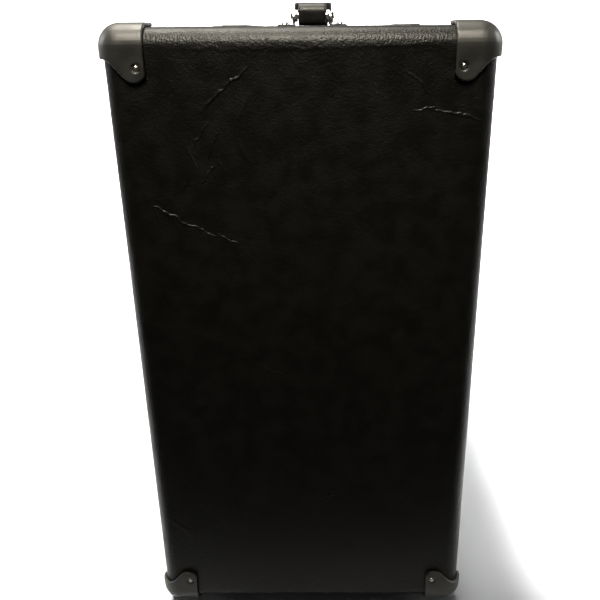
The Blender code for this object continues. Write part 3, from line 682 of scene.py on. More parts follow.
COIL_PAPER = Finish(
    "dial_card", "coil_paper", (0.42, 0.27, 0.10), (0.30, 0.18, 0.06), cloud=10.0, rough=(0.4, 0.6),
    reliefs=(Relief(3.0, 0.08),),
)
CHART_PAPER = Finish(
    "dial_card", "chart_paper", (0.80, 0.76, 0.63), (0.72, 0.66, 0.50), cloud=45.0, rough=(0.75, 0.9),
    reliefs=(Relief(0.5, 0.01), Relief(20.0, 0.08)),
)
JEWEL = Finish(
    "red_jewel", "red_lens", (0.60, 0.012, 0.010), (0.45, 0.006, 0.006), cloud=5.0, rough=(0.04, 0.10),
    clear=0.55, coat=0.5,
)
BACK_ENAMEL = Finish(
    "back_board", "back_enamel", (0.020, 0.019, 0.017), (0.030, 0.028, 0.025), cloud=20.0, rough=(0.48, 0.62),
    reliefs=(Relief(1.4, 0.05, True),),
)
INK = Finish(
    "needle_black", "printed_ink", (0.012, 0.012, 0.014), (0.02, 0.02, 0.022), cloud=3.0, rough=(0.5, 0.6)
)
RED_INK = Finish(
    "red_jewel", "printed_red", (0.45, 0.02, 0.015), (0.38, 0.02, 0.015), cloud=3.0, rough=(0.5, 0.6)
)
GREEN_INK = Finish(
    "dial_card", "printed_green", (0.05, 0.30, 0.09), (0.04, 0.24, 0.08), cloud=3.0, rough=(0.5, 0.6)
)
RED_BUTTON = Finish(
    "bakelite", "red_phenolic", (0.26, 0.012, 0.010), (0.20, 0.008, 0.008), cloud=5.0, rough=(0.18, 0.28),
    coat=0.3, reliefs=(Relief(4.0, 0.02),),
)
WHITE_FILL = Finish(
    "dial_card", "pointer_white", (0.80, 0.78, 0.70), (0.72, 0.69, 0.60), cloud=3.0, rough=(0.5, 0.6)
)


def dress(finish: Finish, *nodes: str) -> None:
    """Gives frame nodes that stay as they are their finish."""
    for name in nodes:
        mesh = frame["nodes"][name].data
        mesh.materials.clear()
        mesh.materials.append(finish.material())


# ---------------------------------------------------------------- cabinet


def arc(centre: Point, radius: float, start: float, end: float, steps: int) -> list[tuple[float, float]]:
    """Points along an arc, in degrees from the first axis."""
    angles = [math.radians(start + (end - start) * i / steps) for i in range(steps + 1)]
    return [(centre[0] + radius * math.cos(a), centre[1] + radius * math.sin(a)) for a in angles]


def node_box(node: str) -> tuple[Vector, Vector]:
    """A frame node's lowest and highest corners, in millimetres."""
    low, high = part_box(node)
    return low / MM, high / MM


@dataclass
class Cabinet:
    """The covered plywood cabinet, its feet and its vents.

    Attributes:
        edge: the radius of the outer edges.
        wall: board and covering together.
        lip: the radius where the covering turns into the openings.
        proud: how far the covering stands proud of the boards inside the openings.
    """

    edge: float = 13.0
    wall: float = 19.0
    lip: float = 1.6
    proud: float = 0.25
    low: Vector = field(default_factory=lambda: node_box("vinyl_covering")[0])
    high: Vector = field(default_factory=lambda: node_box("vinyl_covering")[1])

    def build(self) -> None:
        """Builds and dresses every piece of the cabinet."""
        self.covering()
        dress(
            PLYWOOD, "left_end_board", "right_end_board", "top_board", "bottom_board", "front_batten_frame",
            "rear_batten_frame",
        )
        for node in [
            f"rubber_foot_{depth}_{side}"
            for depth in ("front", "rear")
            for side in ("left", "right")
        ]:
            self.foot(node)
        for node in ("vent_grille_front", "vent_grille_rear"):
            self.vent(node)

    def covering(self) -> None:
        """The vinyl, from one block: rounded, opened front and rear, turned in and given its thickness."""
        skin = Piece.block("covering", self.low, self.high)
        skin.bevel(self.edge, 10)
        depth = self.high.y - self.low.y
        for side, tuck in ((-1, PANEL_Y - self.low.y), (1, self.high.y - node_box("rear_panel")[1].y)):
            skin.edit(lambda face, way=side: face.normal.y * way > 0.9999)
            bpy.ops.mesh.inset(thickness=(self.wall + self.proud - self.edge) * MM, depth=0)
            bpy.ops.mesh.extrude_region_move(
                TRANSFORM_OT_translate={"value": (0, side * (0.3 - tuck) * MM, 0)}
            )
            bpy.ops.mesh.delete(type="FACE")
            skin.leave()
        rim = depth / 2 * MM
        inner = Vector((self.high.x - self.wall, 0, 0)) * MM

        def lip_edge(edge: bmesh.types.BMEdge) -> bool:
            ends = [v.co for v in edge.verts]
            flat = all(abs(abs(v.y) - rim) < 1e-5 for v in ends)
            return flat and all(
                abs(v.x) < inner.x + 1e-4 and (self.low.z + self.wall) * MM - 1e-4 < v.z for v in ends
            ) and all(v.z < (self.high.z - self.wall) * MM + 1e-4 for v in ends)

        skin.bevel(self.lip, 4, lip_edge)
        skin.modify("SOLIDIFY", thickness=0.8 * MM, offset=-1.0, use_even_offset=True)
        for node in ("vent_grille_front", "vent_grille_rear"):
            low, high = node_box(node)
            slot = Piece.block(
                "slot", (low.x + 3.4, low.y + 3.4, low.z), (high.x - 3.4, high.y - 3.4, high.z + 5)
            )
            skin.combine(Boolean.CUT, slot)
        skin.smooth(30).done(VINYL, replaces=["vinyl_covering"])

    def foot(self, node: str) -> None:
        """A tapered rubber foot with a sunk screw."""
        low, high = node_box(node)
        centre = (low + high) / 2
        profile = [
            (3.0, 5.0), (3.2, 4.2), (7.0, 4.0), (7.4, 0.4), (8.0, 0.0), (14.2, 0.0), (15.4, 0.4), (16.2, 1.4),
            (18.6, 10.4), (18.9, 11.2), (18.4, 11.7), (3.0, 11.7),
        ]
        foot = Piece.lathe(f"{node}_turned", profile, (centre.x, centre.y, 0), Axis.UP)
        foot.smooth(40).done(RUBBER, replaces=[node])
        head = [(0.0, 4.3), (3.0, 4.3), (4.6, 3.6), (5.6, 2.4), (5.8, 1.6), (5.0, 1.4), (0.0, 1.2)]
        screw = Piece.lathe(f"{node}_screw", head[::-1], (centre.x, centre.y, 0), Axis.UP, 24)
        cross(screw, (centre.x, centre.y, 0.9), Axis.UP)
        screw.smooth(30).done(ZINC)

    def vent(self, node: str) -> None:
        """A louvre grille with a rounded flange."""
        low, high = node_box(node)
        flange_low = high.z - 1.5
        grille = Piece.block(f"{node}_moulded", (low.x, low.y, flange_low), high)

        def upper_edge(edge: bmesh.types.BMEdge) -> bool:
            first, second = (v.co.z for v in edge.verts)
            return first != second or first > (high.z - 0.1) * MM

        grille.bevel(0.9, 3, upper_edge)
        body = Piece.block(
            "body", (low.x + 3.5, low.y + 3.5, low.z), (high.x - 3.5, high.y - 3.5, high.z - 0.8)
        )
        grille.combine(Boolean.JOIN, body)
        count, inner = 8, (high.x - low.x) - 7.0
        pitch = inner / count
        for i in range(count):
            start = low.x + 3.5 + pitch * (i + 0.2)
            hole = Piece.block(
                "hole", (start, low.y + 6.5, low.z - 5), (start + pitch * 0.6, high.y - 6.5, high.z + 5)
            )
            hole.bevel(1.2, 3, lambda edge: abs(edge.verts[0].co.z - edge.verts[1].co.z) > 1 * MM)
            grille.combine(Boolean.CUT, hole)
        grille.smooth(30).done(MOULDED, replaces=[node])


def cross(
    screw: Piece, at: Point, axis: Axis, arm: float = 2.2, width: float = 0.7, depth: float = 1.3
) -> None:
    """Sinks a cross recess into a screw head.

    Args:
        screw: the screw that is cut.
        at: the middle of its head's top.
        axis: the way that the head faces, or its opposite.
        arm: half the recess's length.
        width: the recess's width.
        depth: how deep it goes on each side of the point.
    """
    for size in ((arm, width / 2), (width / 2, arm)):
        tool = Piece.block("recess", (-size[0], -size[1], -depth), (size[0], size[1], depth))
        screw.combine(Boolean.CUT, tool.placed(Matrix.Translation(Vector(at) * MM) @ axis.matrix()))


@dataclass
class CornerProtectors:
    """Eight moulded protectors with a nailed lobe on the end and on the top or bottom.

    Attributes:
        proud: how far they stand off the cabinet.
        lobe: how far a lobe reaches across its face.
        nail: how far a nail is from both edges.
        radius: the lobe's own radius.
        rim: how far the front and rear lips run along the rims.
        grain: the size of the mesh that softens the moulding.
    """

    proud: float = 3.0
    lobe: float = 31.6
    nail: float = 24.5
    radius: float = 9.3
    rim: float = 20.0
    grain: float = 0.55

    def outline(self) -> list[tuple[float, float]]:
        """The lobe on the end face: distances from the side edge and from the top."""
        centre = (self.lobe - self.radius, self.nail + 1.0)
        lobe = arc(centre, self.radius, 0, 118, 10)
        waist = [(14.6, 30.4), (11.6, 26.8), (8.6, 23.6), (5.4, 21.2), (1.6, self.rim), (-9, self.rim)]
        edge = [(30.2, -9), (30.2, 2), (30.9, 12)]
        return [(-9, -9), *edge, *lobe, *waist]

    def master(self) -> Piece:
        """The protector of the left, front, top corner, with its corner at the origin."""
        p = self.proud
        shell = Piece.block("protector", (-p, -p, -90), (90, 90, p)).bevel(16.0, 10)
        hollow = Piece.block("hollow", (-0.1, -0.1, -120), (120, 120, 0.1)).bevel(13.1, 10)
        shell.combine(Boolean.CUT, hollow)
        points = self.outline()
        end = Piece.outline("end", [(w, v) for v, w in points], 80, (-15, 0, 0), Axis.RIGHT)
        top = Piece.outline("top", [(w, v) for v, w in points], 80, (0, 0, -60), Axis.UP)
        near, far, slack = self.rim - 8, 60.0, 5.0
        lip = [(-9, -9), (far, -9), (far, slack), (self.rim, slack), *arc((near, near), 8, 0, 90, 6)]
        lip += [(slack, self.rim), (slack, far), (-9, far)]
        rim = Piece.outline("rim", [(u, -w) for u, w in lip], 80, (0, 60, 0), Axis.FRONT)
        shell.combine(Boolean.KEEP, end, top, rim)
        for spot, axis in self.nails():
            sink = [(1.6, -6.0), (1.6, -1.7), (3.1, -0.2), (3.1, 4.0), (0.0, 4.0)]
            shell.combine(Boolean.CUT, Piece.lathe("sink", sink, spot, axis, 24))
        shell.modify("REMESH", mode="VOXEL", voxel_size=self.grain * MM)
        shell.modify("SMOOTH", factor=0.5, iterations=6)
        return shell

    def nails(self) -> list[tuple[Point, Axis]]:
        """Where each nail's surface point is and the way that it faces."""
        return [
            ((-self.proud, self.nail, -self.nail - 1), Axis.LEFT),
            ((self.nail + 1, self.nail, self.proud), Axis.UP)
        ]

    def build(self) -> None:
        """Makes the master, its nails, and a mirrored copy at every corner."""
        low, high = node_box("vinyl_covering")
        centre = (low + high) / 2
        corner = Vector((low.x, low.y, high.z))
        master = self.master()
        heads = []
        for spot, axis in self.nails():
            dome = [
                (1.2, -3.5), (1.2, -1.8), (1.9, -1.5), (2.0, -1.1), (1.75, -0.55), (1.2, -0.2),
                (0.5, -0.05), (0.0, 0.0)
            ]
            heads.append(Piece.lathe("nail", dome, spot, axis, 20))
        pins = heads[0].merge_in(heads[1])
        for height, up in (("top", 1), ("bottom", -1)):
            for depth, back in (("front", 1), ("rear", -1)):
                for side, left in (("left", 1), ("right", -1)):
                    flip = Matrix.Diagonal((left, back, up, 1))
                    home = Matrix.Translation((corner - centre) * MM)
                    place = Matrix.Translation(centre * MM) @ flip @ home
                    name = f"{depth}_{side}_{height}"
                    shell = master.copy(f"protector_{name}", place)
                    shell.smooth(60).done(MOULDED, replaces=[f"corner_protector_{name}"])
                    pins.copy(f"nails_{name}", place).smooth(40).done(NAIL_STEEL)
        bpy.data.objects.remove(master.obj)
        bpy.data.objects.remove(pins.obj)


@dataclass
class StrapHandle:
    """The vinyl-wrapped strap with its slotted loops, and the two chrome brackets.

    Attributes:
        y: the handle's centre line.
        pin_x: how far the pins are from the middle.
        pin_z: the pins' height above the cabinet's top.
        lift: how far the loops let the strap rise.
        loop_width: the loops' width.
        band_width: the band's width.
        band_end: where the band's shoulders begin.
    """

    y: float = -6.0
    pin_x: float = 115.0
    pin_z: float = 7.8
    lift: float = 2.5
    loop_width: float = 21.6
    band_width: float = 30.0
    band_end: float = 96.0

    def side_profile(self) -> list[tuple[float, float]]:
        """The strap from the front: rounded hanging loops and a gently arched band."""
        half = [(0.0, 19.9), (40.0, 19.4), (75.0, 18.3), (100.0, 17.4), (112.0, 17.0)]
        end = [*arc((113.6, 9.6), 7.4, 90, 0, 7), *arc((117.0, 4.6), 4.0, 0, -90, 4)]
        under = [
            (112.0, 0.6), (109.6, 1.4), (108.6, 4.0), (106.5, 8.2), (103.0, 10.0), (75.0, 11.2),
            (40.0, 12.2)
        ]
        right = half + end + under + [(0.0, 12.5)]
        left = [(-x, z) for x, z in reversed(right[1:-1])]
        return right + left

    def build(self) -> None:
        """Builds the strap and both brackets."""
        top = node_box("vinyl_covering")[1].z
        half = self.loop_width / 2
        strap = Piece.outline(
            "strap", self.side_profile(), self.loop_width, (0, self.y + half, top), Axis.FRONT
        )
        end, wide = self.band_end, self.band_width / 2
        plan = [*arc((end - 5, wide - 5), 5, 0, 90, 5), *arc((5 - end, wide - 5), 5, 90, 180, 5)]
        plan += [(-x, -y) for x, y in plan]
        band = Piece.outline("band", plan, 40, (0, self.y, top), Axis.UP)
        arch = [(x, z + 0.25) for x, z in self.side_profile()]
        slab = Piece.outline("slab", arch, self.band_width, (0, self.y + wide, top), Axis.FRONT)
        band.combine(Boolean.KEEP, slab)
        strap.combine(Boolean.JOIN, band)
        for x in (-self.pin_x, self.pin_x):
            slot = [*arc((0, 0), 2.9, 0, 180, 8), *arc((0, -self.lift), 2.9, 180, 360, 8)]
            tool = Piece.outline("slot", slot, 60, (x, self.y + 30, top + self.pin_z), Axis.FRONT)
            strap.combine(Boolean.CUT, tool)
        strap.modify("REMESH", mode="VOXEL", voxel_size=0.7 * MM)
        strap.modify("SMOOTH", factor=0.5, iterations=10)
        strap.smooth(80).done(STRAP_VINYL, "handle", ["handle_strap"])
        self.stitches(top)
        for node, x in (("handle_bracket_left", -self.pin_x), ("handle_bracket_right", self.pin_x)):
            self.bracket(node, x, top)

    def stitches(self, top: float) -> None:
        """Two rows of thread along the band's upper edges."""
        rows = []
        for side in (-1, 1):
            for i in range(44):
                x = -86 + 4 * i
                level = top + 19.6 - 2.6 * (x / 100) ** 2 - 0.05
                start = (x - 1.3, self.y + side * 11.2 - 0.3, level - 0.35)
                stitch = Piece.block(
                    "stitch", start, (start[0] + 2.6, start[1] + 0.6, level + 0.3)
                ).bevel(0.25, 1)
                rows.append(stitch)
        thread = rows[0].merge_in(*rows[1:])
        thread.obj.name = "strap_stitching"
        thread.smooth(50).done(STRAP_VINYL, "handle")

    def bracket(self, node: str, x: float, top: float) -> None:
        """A folded chrome bracket: two screwed plates, two round ears and a riveted pin."""
        parts = []
        for side in (-1, 1):
            plate_half = (27.3 - 13.6) / 2
            middle = self.y + side * (13.6 + plate_half)
            plan = [*arc((7, plate_half - 3), 2.9, 0, 90, 4), *arc((-7, plate_half - 3), 2.9, 90, 180, 4)]
            plan += [(-a, -b) for a, b in plan]
            plate = Piece.outline("plate", plan, 1.3, (x, middle, top + 0.3), Axis.UP)
            ear_plan = [(-6.2, 0.0), *reversed(arc((0, 5.1), 6.0, -8, 188, 14)), (6.2, 0.0)]
            ear_start = self.y + (15.2 if side > 0 else -13.5)
            ear = Piece.outline("ear", ear_plan[::-1], 1.7, (x, ear_start, top + 0.3), Axis.FRONT)
            plate.combine(Boolean.JOIN, ear)
            plate.bevel(0.35, 2)
            parts.append(plate)
            screw = [(0.0, 1.4), (3.2, 1.4), (3.6, 1.7), (3.3, 2.5), (2.2, 3.2), (0.9, 3.5), (0.0, 3.55)]
            head = Piece.lathe("screw", screw, (x, middle + side * 1.2, top), Axis.UP, 24)
            cross(head, (x, middle + side * 1.2, top + 3.2), Axis.UP, 1.7, 0.6, 0.8)
            parts.append(head)
            washer = [(0.0, 11.5), (4.4, 11.5), (4.4, 13.4), (0.0, 13.4)]
            parts.append(Piece.lathe("washer", washer, (x, self.y, top + self.pin_z),
                                     Axis.REAR if side > 0 else Axis.FRONT, 24))
        pin = [(0.0, -17.3), (1.2, -17.2), (2.6, -16.6), (3.2, -15.2), (2.5, -15.2), (2.5, 15.2), (3.2, 15.2),
               (2.6, 16.6), (1.2, 17.2), (0.0, 17.3)]
        parts.append(Piece.lathe("pin", pin, (x, self.y, top + self.pin_z), Axis.REAR, 24))
        whole = parts[0].merge_in(*parts[1:])
        whole.obj.name = f"{node}_folded"
        whole.smooth(35).done(CHROME, replaces=[node])


# ---------------------------------------------------------------- shared fittings

PANEL_Y = node_box("control_panel")[0].y
PRINT = 0.08
SWEEP = range(-150, 151, 30)


def joint(name: str) -> dict:
    """What the record says of a joint."""
    return next(j for j in frame["joints"] if j["name"] == name)


def pivot(name: str) -> Vector:
    """Where a joint's axis goes, in millimetres."""
    return Vector(joint(name)["pos_m"]) / MM


def on_dial(centre: Vector, radius: float, degrees: float) -> tuple[float, float]:
    """X and Z of a point round a dial, in degrees clockwise from straight up."""
    angle = math.radians(degrees)
    return centre.x + radius * math.sin(angle), centre.z + radius * math.cos(angle)


def scallop(radius: float, depth: float, count: int, steps: int = 6) -> list[tuple[float, float]]:
    """A circle with that many flutes."""
    turns = [2 * math.pi * i / (count * steps) for i in range(count * steps)]
    sizes = [radius - depth / 2 + depth / 2 * math.cos(count * t) for t in turns]
    return [(r * math.cos(t), r * math.sin(t)) for r, t in zip(sizes, turns)]


def strip(path: Sequence[Point], width: float) -> list[tuple[float, float]]:
    """The outline of a line of even width along a path."""
    sides: tuple[list, list] = ([], [])
    for i, point in enumerate(path):
        way = Vector(path[min(i + 1, len(path) - 1)]) - Vector(path[max(i - 1, 0)])
        across = Vector((-way.y, way.x)).normalized() * width / 2
        for side, sign in zip(sides, (1, -1)):
            side.append((point[0] + across.x * sign, point[1] + across.y * sign))
    return sides[0] + sides[1][::-1]


def joined(name: str, parts: Sequence[Piece]) -> Piece:
    """One object that holds all of these."""
    whole = parts[0].merge_in(*parts[1:]) if len(parts) > 1 else parts[0]
    whole.obj.name = name
    return whole


def ring(name: str, profile: Sequence[Point], hole: float, at: Point, axis: Axis, sides: int = 48) -> Piece:
    """A turned piece with a round hole through it."""
    body = Piece.lathe(name, profile, at, axis, sides)
    return body.combine(Boolean.CUT, Piece.lathe("bore", [(hole, -60), (hole, 60)], at, axis, sides))


def screws(name: str, spots: Iterable[Point], axis: Axis, radius: float = 3.4) -> Piece:
    """Oval screw heads with cross recesses on cup washers, all in one object."""
    base = 1.35 * radius
    profile = [(base, 0.05), (base, 0.3), (1.1 * radius, 0.9), (radius, 0.8), (0.9 * radius, 1.3),
               (0.6 * radius, 1.7), (0.3 * radius, 1.85), (0.0, 1.9)]
    head = Piece.lathe("head", profile, (0, 0, 0), Axis.UP, 24)
    cross(head, (0, 0, 1.9), Axis.UP, 0.55 * radius, 0.2 * radius, 0.9)
    heads = [head.copy("screw", Matrix.Translation(Vector(at) * MM) @ axis.matrix()) for at in spots]
    bpy.data.objects.remove(head.obj)
    return joined(name, heads).smooth(35)


def figures(name: str, items: Iterable[tuple[str, float, float]], height: float, level: float) -> Piece:
    """Printed figures on a face that looks forward.

    Args:
        name: the piece's name.
        items: what each one says, and its middle's X and Z.
        height: how tall they are.
        level: the face's Y.

    Returns:
        All of the figures as one piece.
    """
    made = []
    for text, x, z in items:
        clear_selection()
        bpy.ops.object.text_add(location=(0, 0, 0))
        obj = bpy.context.object
        obj.data.body = text
        obj.data.size = 1.4 * height * MM
        obj.data.align_x = "CENTER"
        obj.data.align_y = "CENTER"
        obj.data.resolution_u = 3
        obj.data.extrude = PRINT / 2 * MM
        bpy.ops.object.convert(target="MESH")
        figure = Piece(bpy.context.object, "figure")
        made.append(
            figure.placed(Matrix.Translation(Vector((x, level - PRINT / 2, z)) * MM) @ Axis.FRONT.matrix())
        )
    return joined(name, made).tidy()


class Print:
    """Lines printed on a face that looks forward."""

    def __init__(self, level: float) -> None:
        """Starts with a clean face.

        Args:
            level: the face's Y.
        """
        self.level = level
        self.marks: list[Piece] = []

    def line(self, path: Sequence[Point], width: float) -> None:
        """A line of even width along X and Z points."""
        self.marks.append(Piece.outline("mark", strip(path, width), PRINT, (0, self.level, 0), Axis.FRONT))

    def tick(self, centre: Vector, degrees: float, near: float, far: float, width: float) -> None:
        """A short line that points away from a dial's middle."""
        self.line([on_dial(centre, near, degrees), on_dial(centre, far, degrees)], width)

    def sweep(self, centre: Vector, radius: float, start: float, end: float, width: float) -> None:
        """A line round a dial, in degrees clockwise from straight up."""
        steps = max(4, int(abs(end - start) / 5))
        self.line(
            [on_dial(centre, radius, start + (end - start) * i / steps) for i in range(steps + 1)], width
        )

    def border(self, low: Point, high: Point, gap: float, width: float = 0.6, radius: float = 6.0) -> None:
        """A rounded frame with a gap in the middle of its upper side."""
        middle = (low[0] + high[0]) / 2
        path = [(middle + gap / 2, high[1])]
        corners = ((high[0] - radius, high[1] - radius, 90), (high[0] - radius, low[1] + radius, 0),
                   (low[0] + radius, low[1] + radius, -90), (low[0] + radius, high[1] - radius, -180))
        for x, z, start in corners:
            path += arc((x, z), radius, start, start - 90, 5)
        self.line([*path, (middle - gap / 2, high[1])], width)

    def done(self, name: str, finish: Finish) -> None:
        """Makes the lines one piece with its finish."""
        joined(name, self.marks).done(finish)
        self.marks = []


# ---------------------------------------------------------------- front


@dataclass
class Meter:
    """The big moving-coil meter.

    Attributes:
        wall: the case's wall.
        sill: the thickness of the lower cover.
        cover_top: where the lower cover ends and the window starts.
        body: the radius of the round body behind the panel.
        swing: the scale's half angle.
        scale: the radius of the scale's line.
        length: the needle's length.
    """

    wall: float = 4.0
    sill: float = 3.0
    cover_top: float = 386.0
    body: float = 36.0
    swing: float = 45.0
    scale: float = 63.0
    length: float = 70.0

    def build(self) -> None:
        """Builds the case, the scale, the needle and the zero screw."""
        self.case()
        dress(GLASS, "meter_glass")
        dress(DIAL_CARD, "meter_dial")
        self.print_scale()
        self.needle()
        self.adjuster()

    def case(self) -> None:
        """The moulded case, with its window, grooved lower cover and round body."""
        low, high = node_box("meter_case")
        middle = (low + high) / 2
        back = PANEL_Y - 0.3
        case = Piece.block("meter_case_moulded", low, (high.x, back + 8, high.z)).bevel(3.2, 5)
        case.combine(
            Boolean.CUT,
            Piece.block("behind", (low.x - 5, back, low.z - 5), (high.x + 5, back + 20, high.z + 5))
        )
        inner = (low.x + self.wall, high.x - self.wall, low.z + self.wall, high.z - self.wall)
        floor = low.y + 8
        hollow = Piece.block("hollow", (inner[0], low.y + self.sill, inner[2]), (inner[1], floor, inner[3]))
        seat = Piece.block("seat", (inner[0], low.y + 0.35, self.cover_top), (inner[1], floor - 1, inner[3]))
        pane = Piece.block(
            "pane", (inner[0] + 1.6, low.y - 5, self.cover_top + 1.6),
            (inner[1] - 1.6, floor - 1, inner[3] - 1.6)
        )
        pane.bevel(3.0, 4, lambda e: abs(e.verts[0].co.y - e.verts[1].co.y) > MM)
        case.combine(Boolean.CUT, hollow, seat, pane)
        for i in range(4):
            for side in (-1, 1):
                z = low.z + 9.5 + 5.5 * i
                ends = sorted((middle.x + side * 17, middle.x + side * 64))
                groove = Piece.block("groove", (ends[0], low.y - 3, z - 0.8), (ends[1], low.y + 0.9, z + 0.8))
                case.combine(Boolean.CUT, groove)
        zero = pivot("zero_adjust")
        case.combine(
            Boolean.JOIN,
            Piece.lathe("boss", [(9, -1), (9, 0.5), (8.2, 1.1), (6.4, 1.1), (6.4, -1)], zero, Axis.FRONT)
        )
        case.combine(Boolean.CUT, Piece.lathe("recess", [(5.2, 0.0), (5.2, 5)], zero, Axis.FRONT))
        case.combine(Boolean.CUT, Piece.lathe("bore", [(2.5, -10), (2.5, 10)], zero, Axis.FRONT, 24))
        depth = high.y - back
        rear = [
            (self.body, -1.0), (self.body, depth - 2.5), (self.body - 0.8, depth - 0.8),
            (self.body - 2.5, depth), (0.0, depth)
        ]
        rim = Piece.lathe("rear", rear, (middle.x, back, middle.z), Axis.REAR, 64)
        case.combine(Boolean.JOIN, rim)
        case.smooth(30).done(BAKELITE, replaces=["meter_case"])
        posts = [
            Piece.lathe(
                "post", [(2.0, depth - 1), (2.0, depth + 6), (1.2, depth + 7)],
                (middle.x + x, back, middle.z), Axis.REAR, 20
            )
            for x in (-16, 16)
        ]
        nuts = [
            Piece.outline(
                "nut", arc((0, 0), 4.2, 0, 300, 5), 2.6, (middle.x + x, high.y + 0.2, middle.z), Axis.REAR
            )
            for x in (-16, 16)
        ]
        joined("meter_terminals", posts + nuts).smooth(30).done(ZINC)

    def print_scale(self) -> None:
        """Two curved scales with numbers, and a coloured band under them."""
        centre = pivot("needle_swing")
        level = node_box("meter_dial")[0].y - 0.02
        ink = Print(level)
        for radius, width in ((self.scale, 0.5), (self.scale - 9, 0.35)):
            ink.sweep(centre, radius, -self.swing, self.swing, width)
        for i in range(51):
            angle = -self.swing + 2 * self.swing * i / 50
            major, half = i % 10 == 0, i % 5 == 0
            ink.tick(
                centre, angle, self.scale, self.scale + (5.0 if major else 3.4 if half else 2.2),
                0.55 if major else 0.3
            )
            if half:
                ink.tick(centre, angle, self.scale - 9, self.scale - 7, 0.3)
        ink.done("meter_scale", INK)
        numbers = [
            (str(20 * i), *on_dial(centre, self.scale + 9, -self.swing + 2 * self.swing * i / 5))
            for i in range(6)
        ]
        figures("meter_numbers", numbers, 4.4, level).done(INK)
        small = [(str(i), *on_dial(centre, self.scale - 4, -self.swing + 9 * i)) for i in range(1, 10)]
        figures("meter_small_numbers", small, 2.3, level).done(INK)
        for name, start, end, finish in (
            ("low_band", -self.swing, -12, RED_INK), ("high_band", -4, self.swing, GREEN_INK)
        ):
            band = Print(level)
            band.sweep(centre, self.scale - 13.5, start, end, 4.2)
            band.done(f"meter_{name}", finish)

    def needle(self) -> None:
        """A knife-edged pointer with its hub and balance tail, at rest on zero."""
        at = pivot("needle_swing")
        hub = Piece.lathe(
            "meter_pointer", [(4.4, -1.4), (5.0, -0.9), (5.0, 0.9), (4.2, 1.4), (1.4, 1.5), (0.0, 1.9)], at,
            Axis.FRONT, 32
        )
        plan = [(-1.3, 0), (1.3, 0), (0.7, 26), (0.35, self.length), (-0.35, self.length), (-0.7, 26)]
        blade = Piece.outline("blade", plan, 0.7, (at.x, at.y + 0.35, at.z), Axis.FRONT)
        tail = Piece.outline(
            "tail", [(-1.6, -10.5), (1.6, -10.5), (1.0, -3), (-1.0, -3)], 1.0, (at.x, at.y + 0.5, at.z),
            Axis.FRONT
        )
        whole = joined("meter_pointer", [hub, blade.bevel(0.12, 1), tail.bevel(0.25, 2)])
        whole.turned(-self.swing, at, "Y").smooth(35).done(NEEDLE_BLACK, "needle", ["meter_needle"])

    def adjuster(self) -> None:
        """The slotted zero screw."""
        at = pivot("zero_adjust")
        profile = [(2.1, -2.3), (2.1, 0.35), (4.1, 0.35), (4.4, 0.7), (4.4, 1.3), (4.0, 1.8), (0.0, 1.8)]
        head = Piece.lathe("zero_screw", profile, at, Axis.FRONT, 32)
        slit = Piece.block("slit", (at.x - 6, at.y - 3, at.z - 0.5), (at.x + 6, at.y - 0.9, at.z + 0.5))
        head.combine(Boolean.CUT, slit).smooth(30).done(BAKELITE, "adjuster", ["zero_adjuster"])


@dataclass
class Selector:
    """One fluted pointer knob and the numbered scale round it.

    Attributes:
        joint: its joint's name.
        skirt: the skirt's radius.
        tall: the grip's height above the panel.
        step: what one mark on the scale counts.
        flutes: how many flutes the grip has.
    """

    joint: str
    skirt: float
    tall: float
    step: int = 1
    flutes: int = 14

    def build(self) -> None:
        """Builds the knob, its pointer line and its shaft; its scale is printed by scale()."""
        spec = joint(self.joint)
        at, body = pivot(self.joint), spec["child"]
        rest = SWEEP[0] - spec["range_deg"][0]
        s, top = self.skirt, self.tall + 2.4
        profile = [
            (s - 0.6, 3.0), (s, 3.4), (s, 4.8), (s - 0.5, 5.4), (0.82 * s, 6.1), (0.72 * s, 6.9), (0.0, 6.9)
        ]
        skirt = Piece.lathe("skirt", profile, at, Axis.FRONT, 64)
        grip = Piece.outline(
            "grip", scallop(0.66 * s, 0.075 * s, self.flutes), self.tall - 6, (at.x, at.y - 6, at.z),
            Axis.FRONT
        )
        grip.edit(lambda f: f.normal.y < -0.99)
        bpy.ops.transform.resize(value=(0.9, 1.0, 0.9), center_override=Vector(at) * MM)
        grip.leave().bevel(0.07 * s, 3)
        bar = [
            (-0.22 * s, -0.52 * s), (0.22 * s, -0.52 * s), (0.24 * s, 0.4 * s), (1.4, s + 2.7),
            (-1.4, s + 2.7), (-0.24 * s, 0.4 * s)
        ]
        pointer = Piece.outline("pointer", bar, top - 4.2, (at.x, at.y - 4.2, at.z), Axis.FRONT)
        pointer.edit(lambda f: f.normal.y < -0.99)
        bpy.ops.transform.resize(value=(0.72, 1.0, 0.94), center_override=Vector(at) * MM)
        pointer.leave().bevel(0.8, 3)
        knob = joined(f"{body}_moulded", [skirt, grip, pointer])
        knob.turned(rest, at, "Y").smooth(35).done(BAKELITE, body, [body])
        line = Piece.block(
            "line", (at.x - 0.45, at.y - top - PRINT, at.z + 0.1 * s),
            (at.x + 0.45, at.y - top + 0.3, at.z + s + 1.2)
        )
        line.obj.name = f"{body}_line"
        line.turned(rest, at, "Y").done(WHITE_FILL, body)
        shaft = Piece.lathe(f"{body}_shaft", [(2.6, -16), (3.0, -15.6), (3.0, 3.1)], at, Axis.FRONT, 24)
        shaft.smooth(35).done(ZINC, body)

    def scale(self, ink: Print) -> list[tuple[str, float, float]]:
        """Prints the ring and its marks, and says where the numbers go."""
        at, near = pivot(self.joint), self.skirt + 4.6
        ink.sweep(at, near, SWEEP[0], SWEEP[-1], 0.45)
        for i, degrees in enumerate(SWEEP):
            ink.tick(at, degrees, near, near + 2.6, 0.6)
            if degrees != SWEEP[-1]:
                ink.tick(at, degrees + 15, near, near + 1.5, 0.35)
        return [(str(i * self.step), *on_dial(at, near + 5.6, degrees)) for i, degrees in enumerate(SWEEP)]


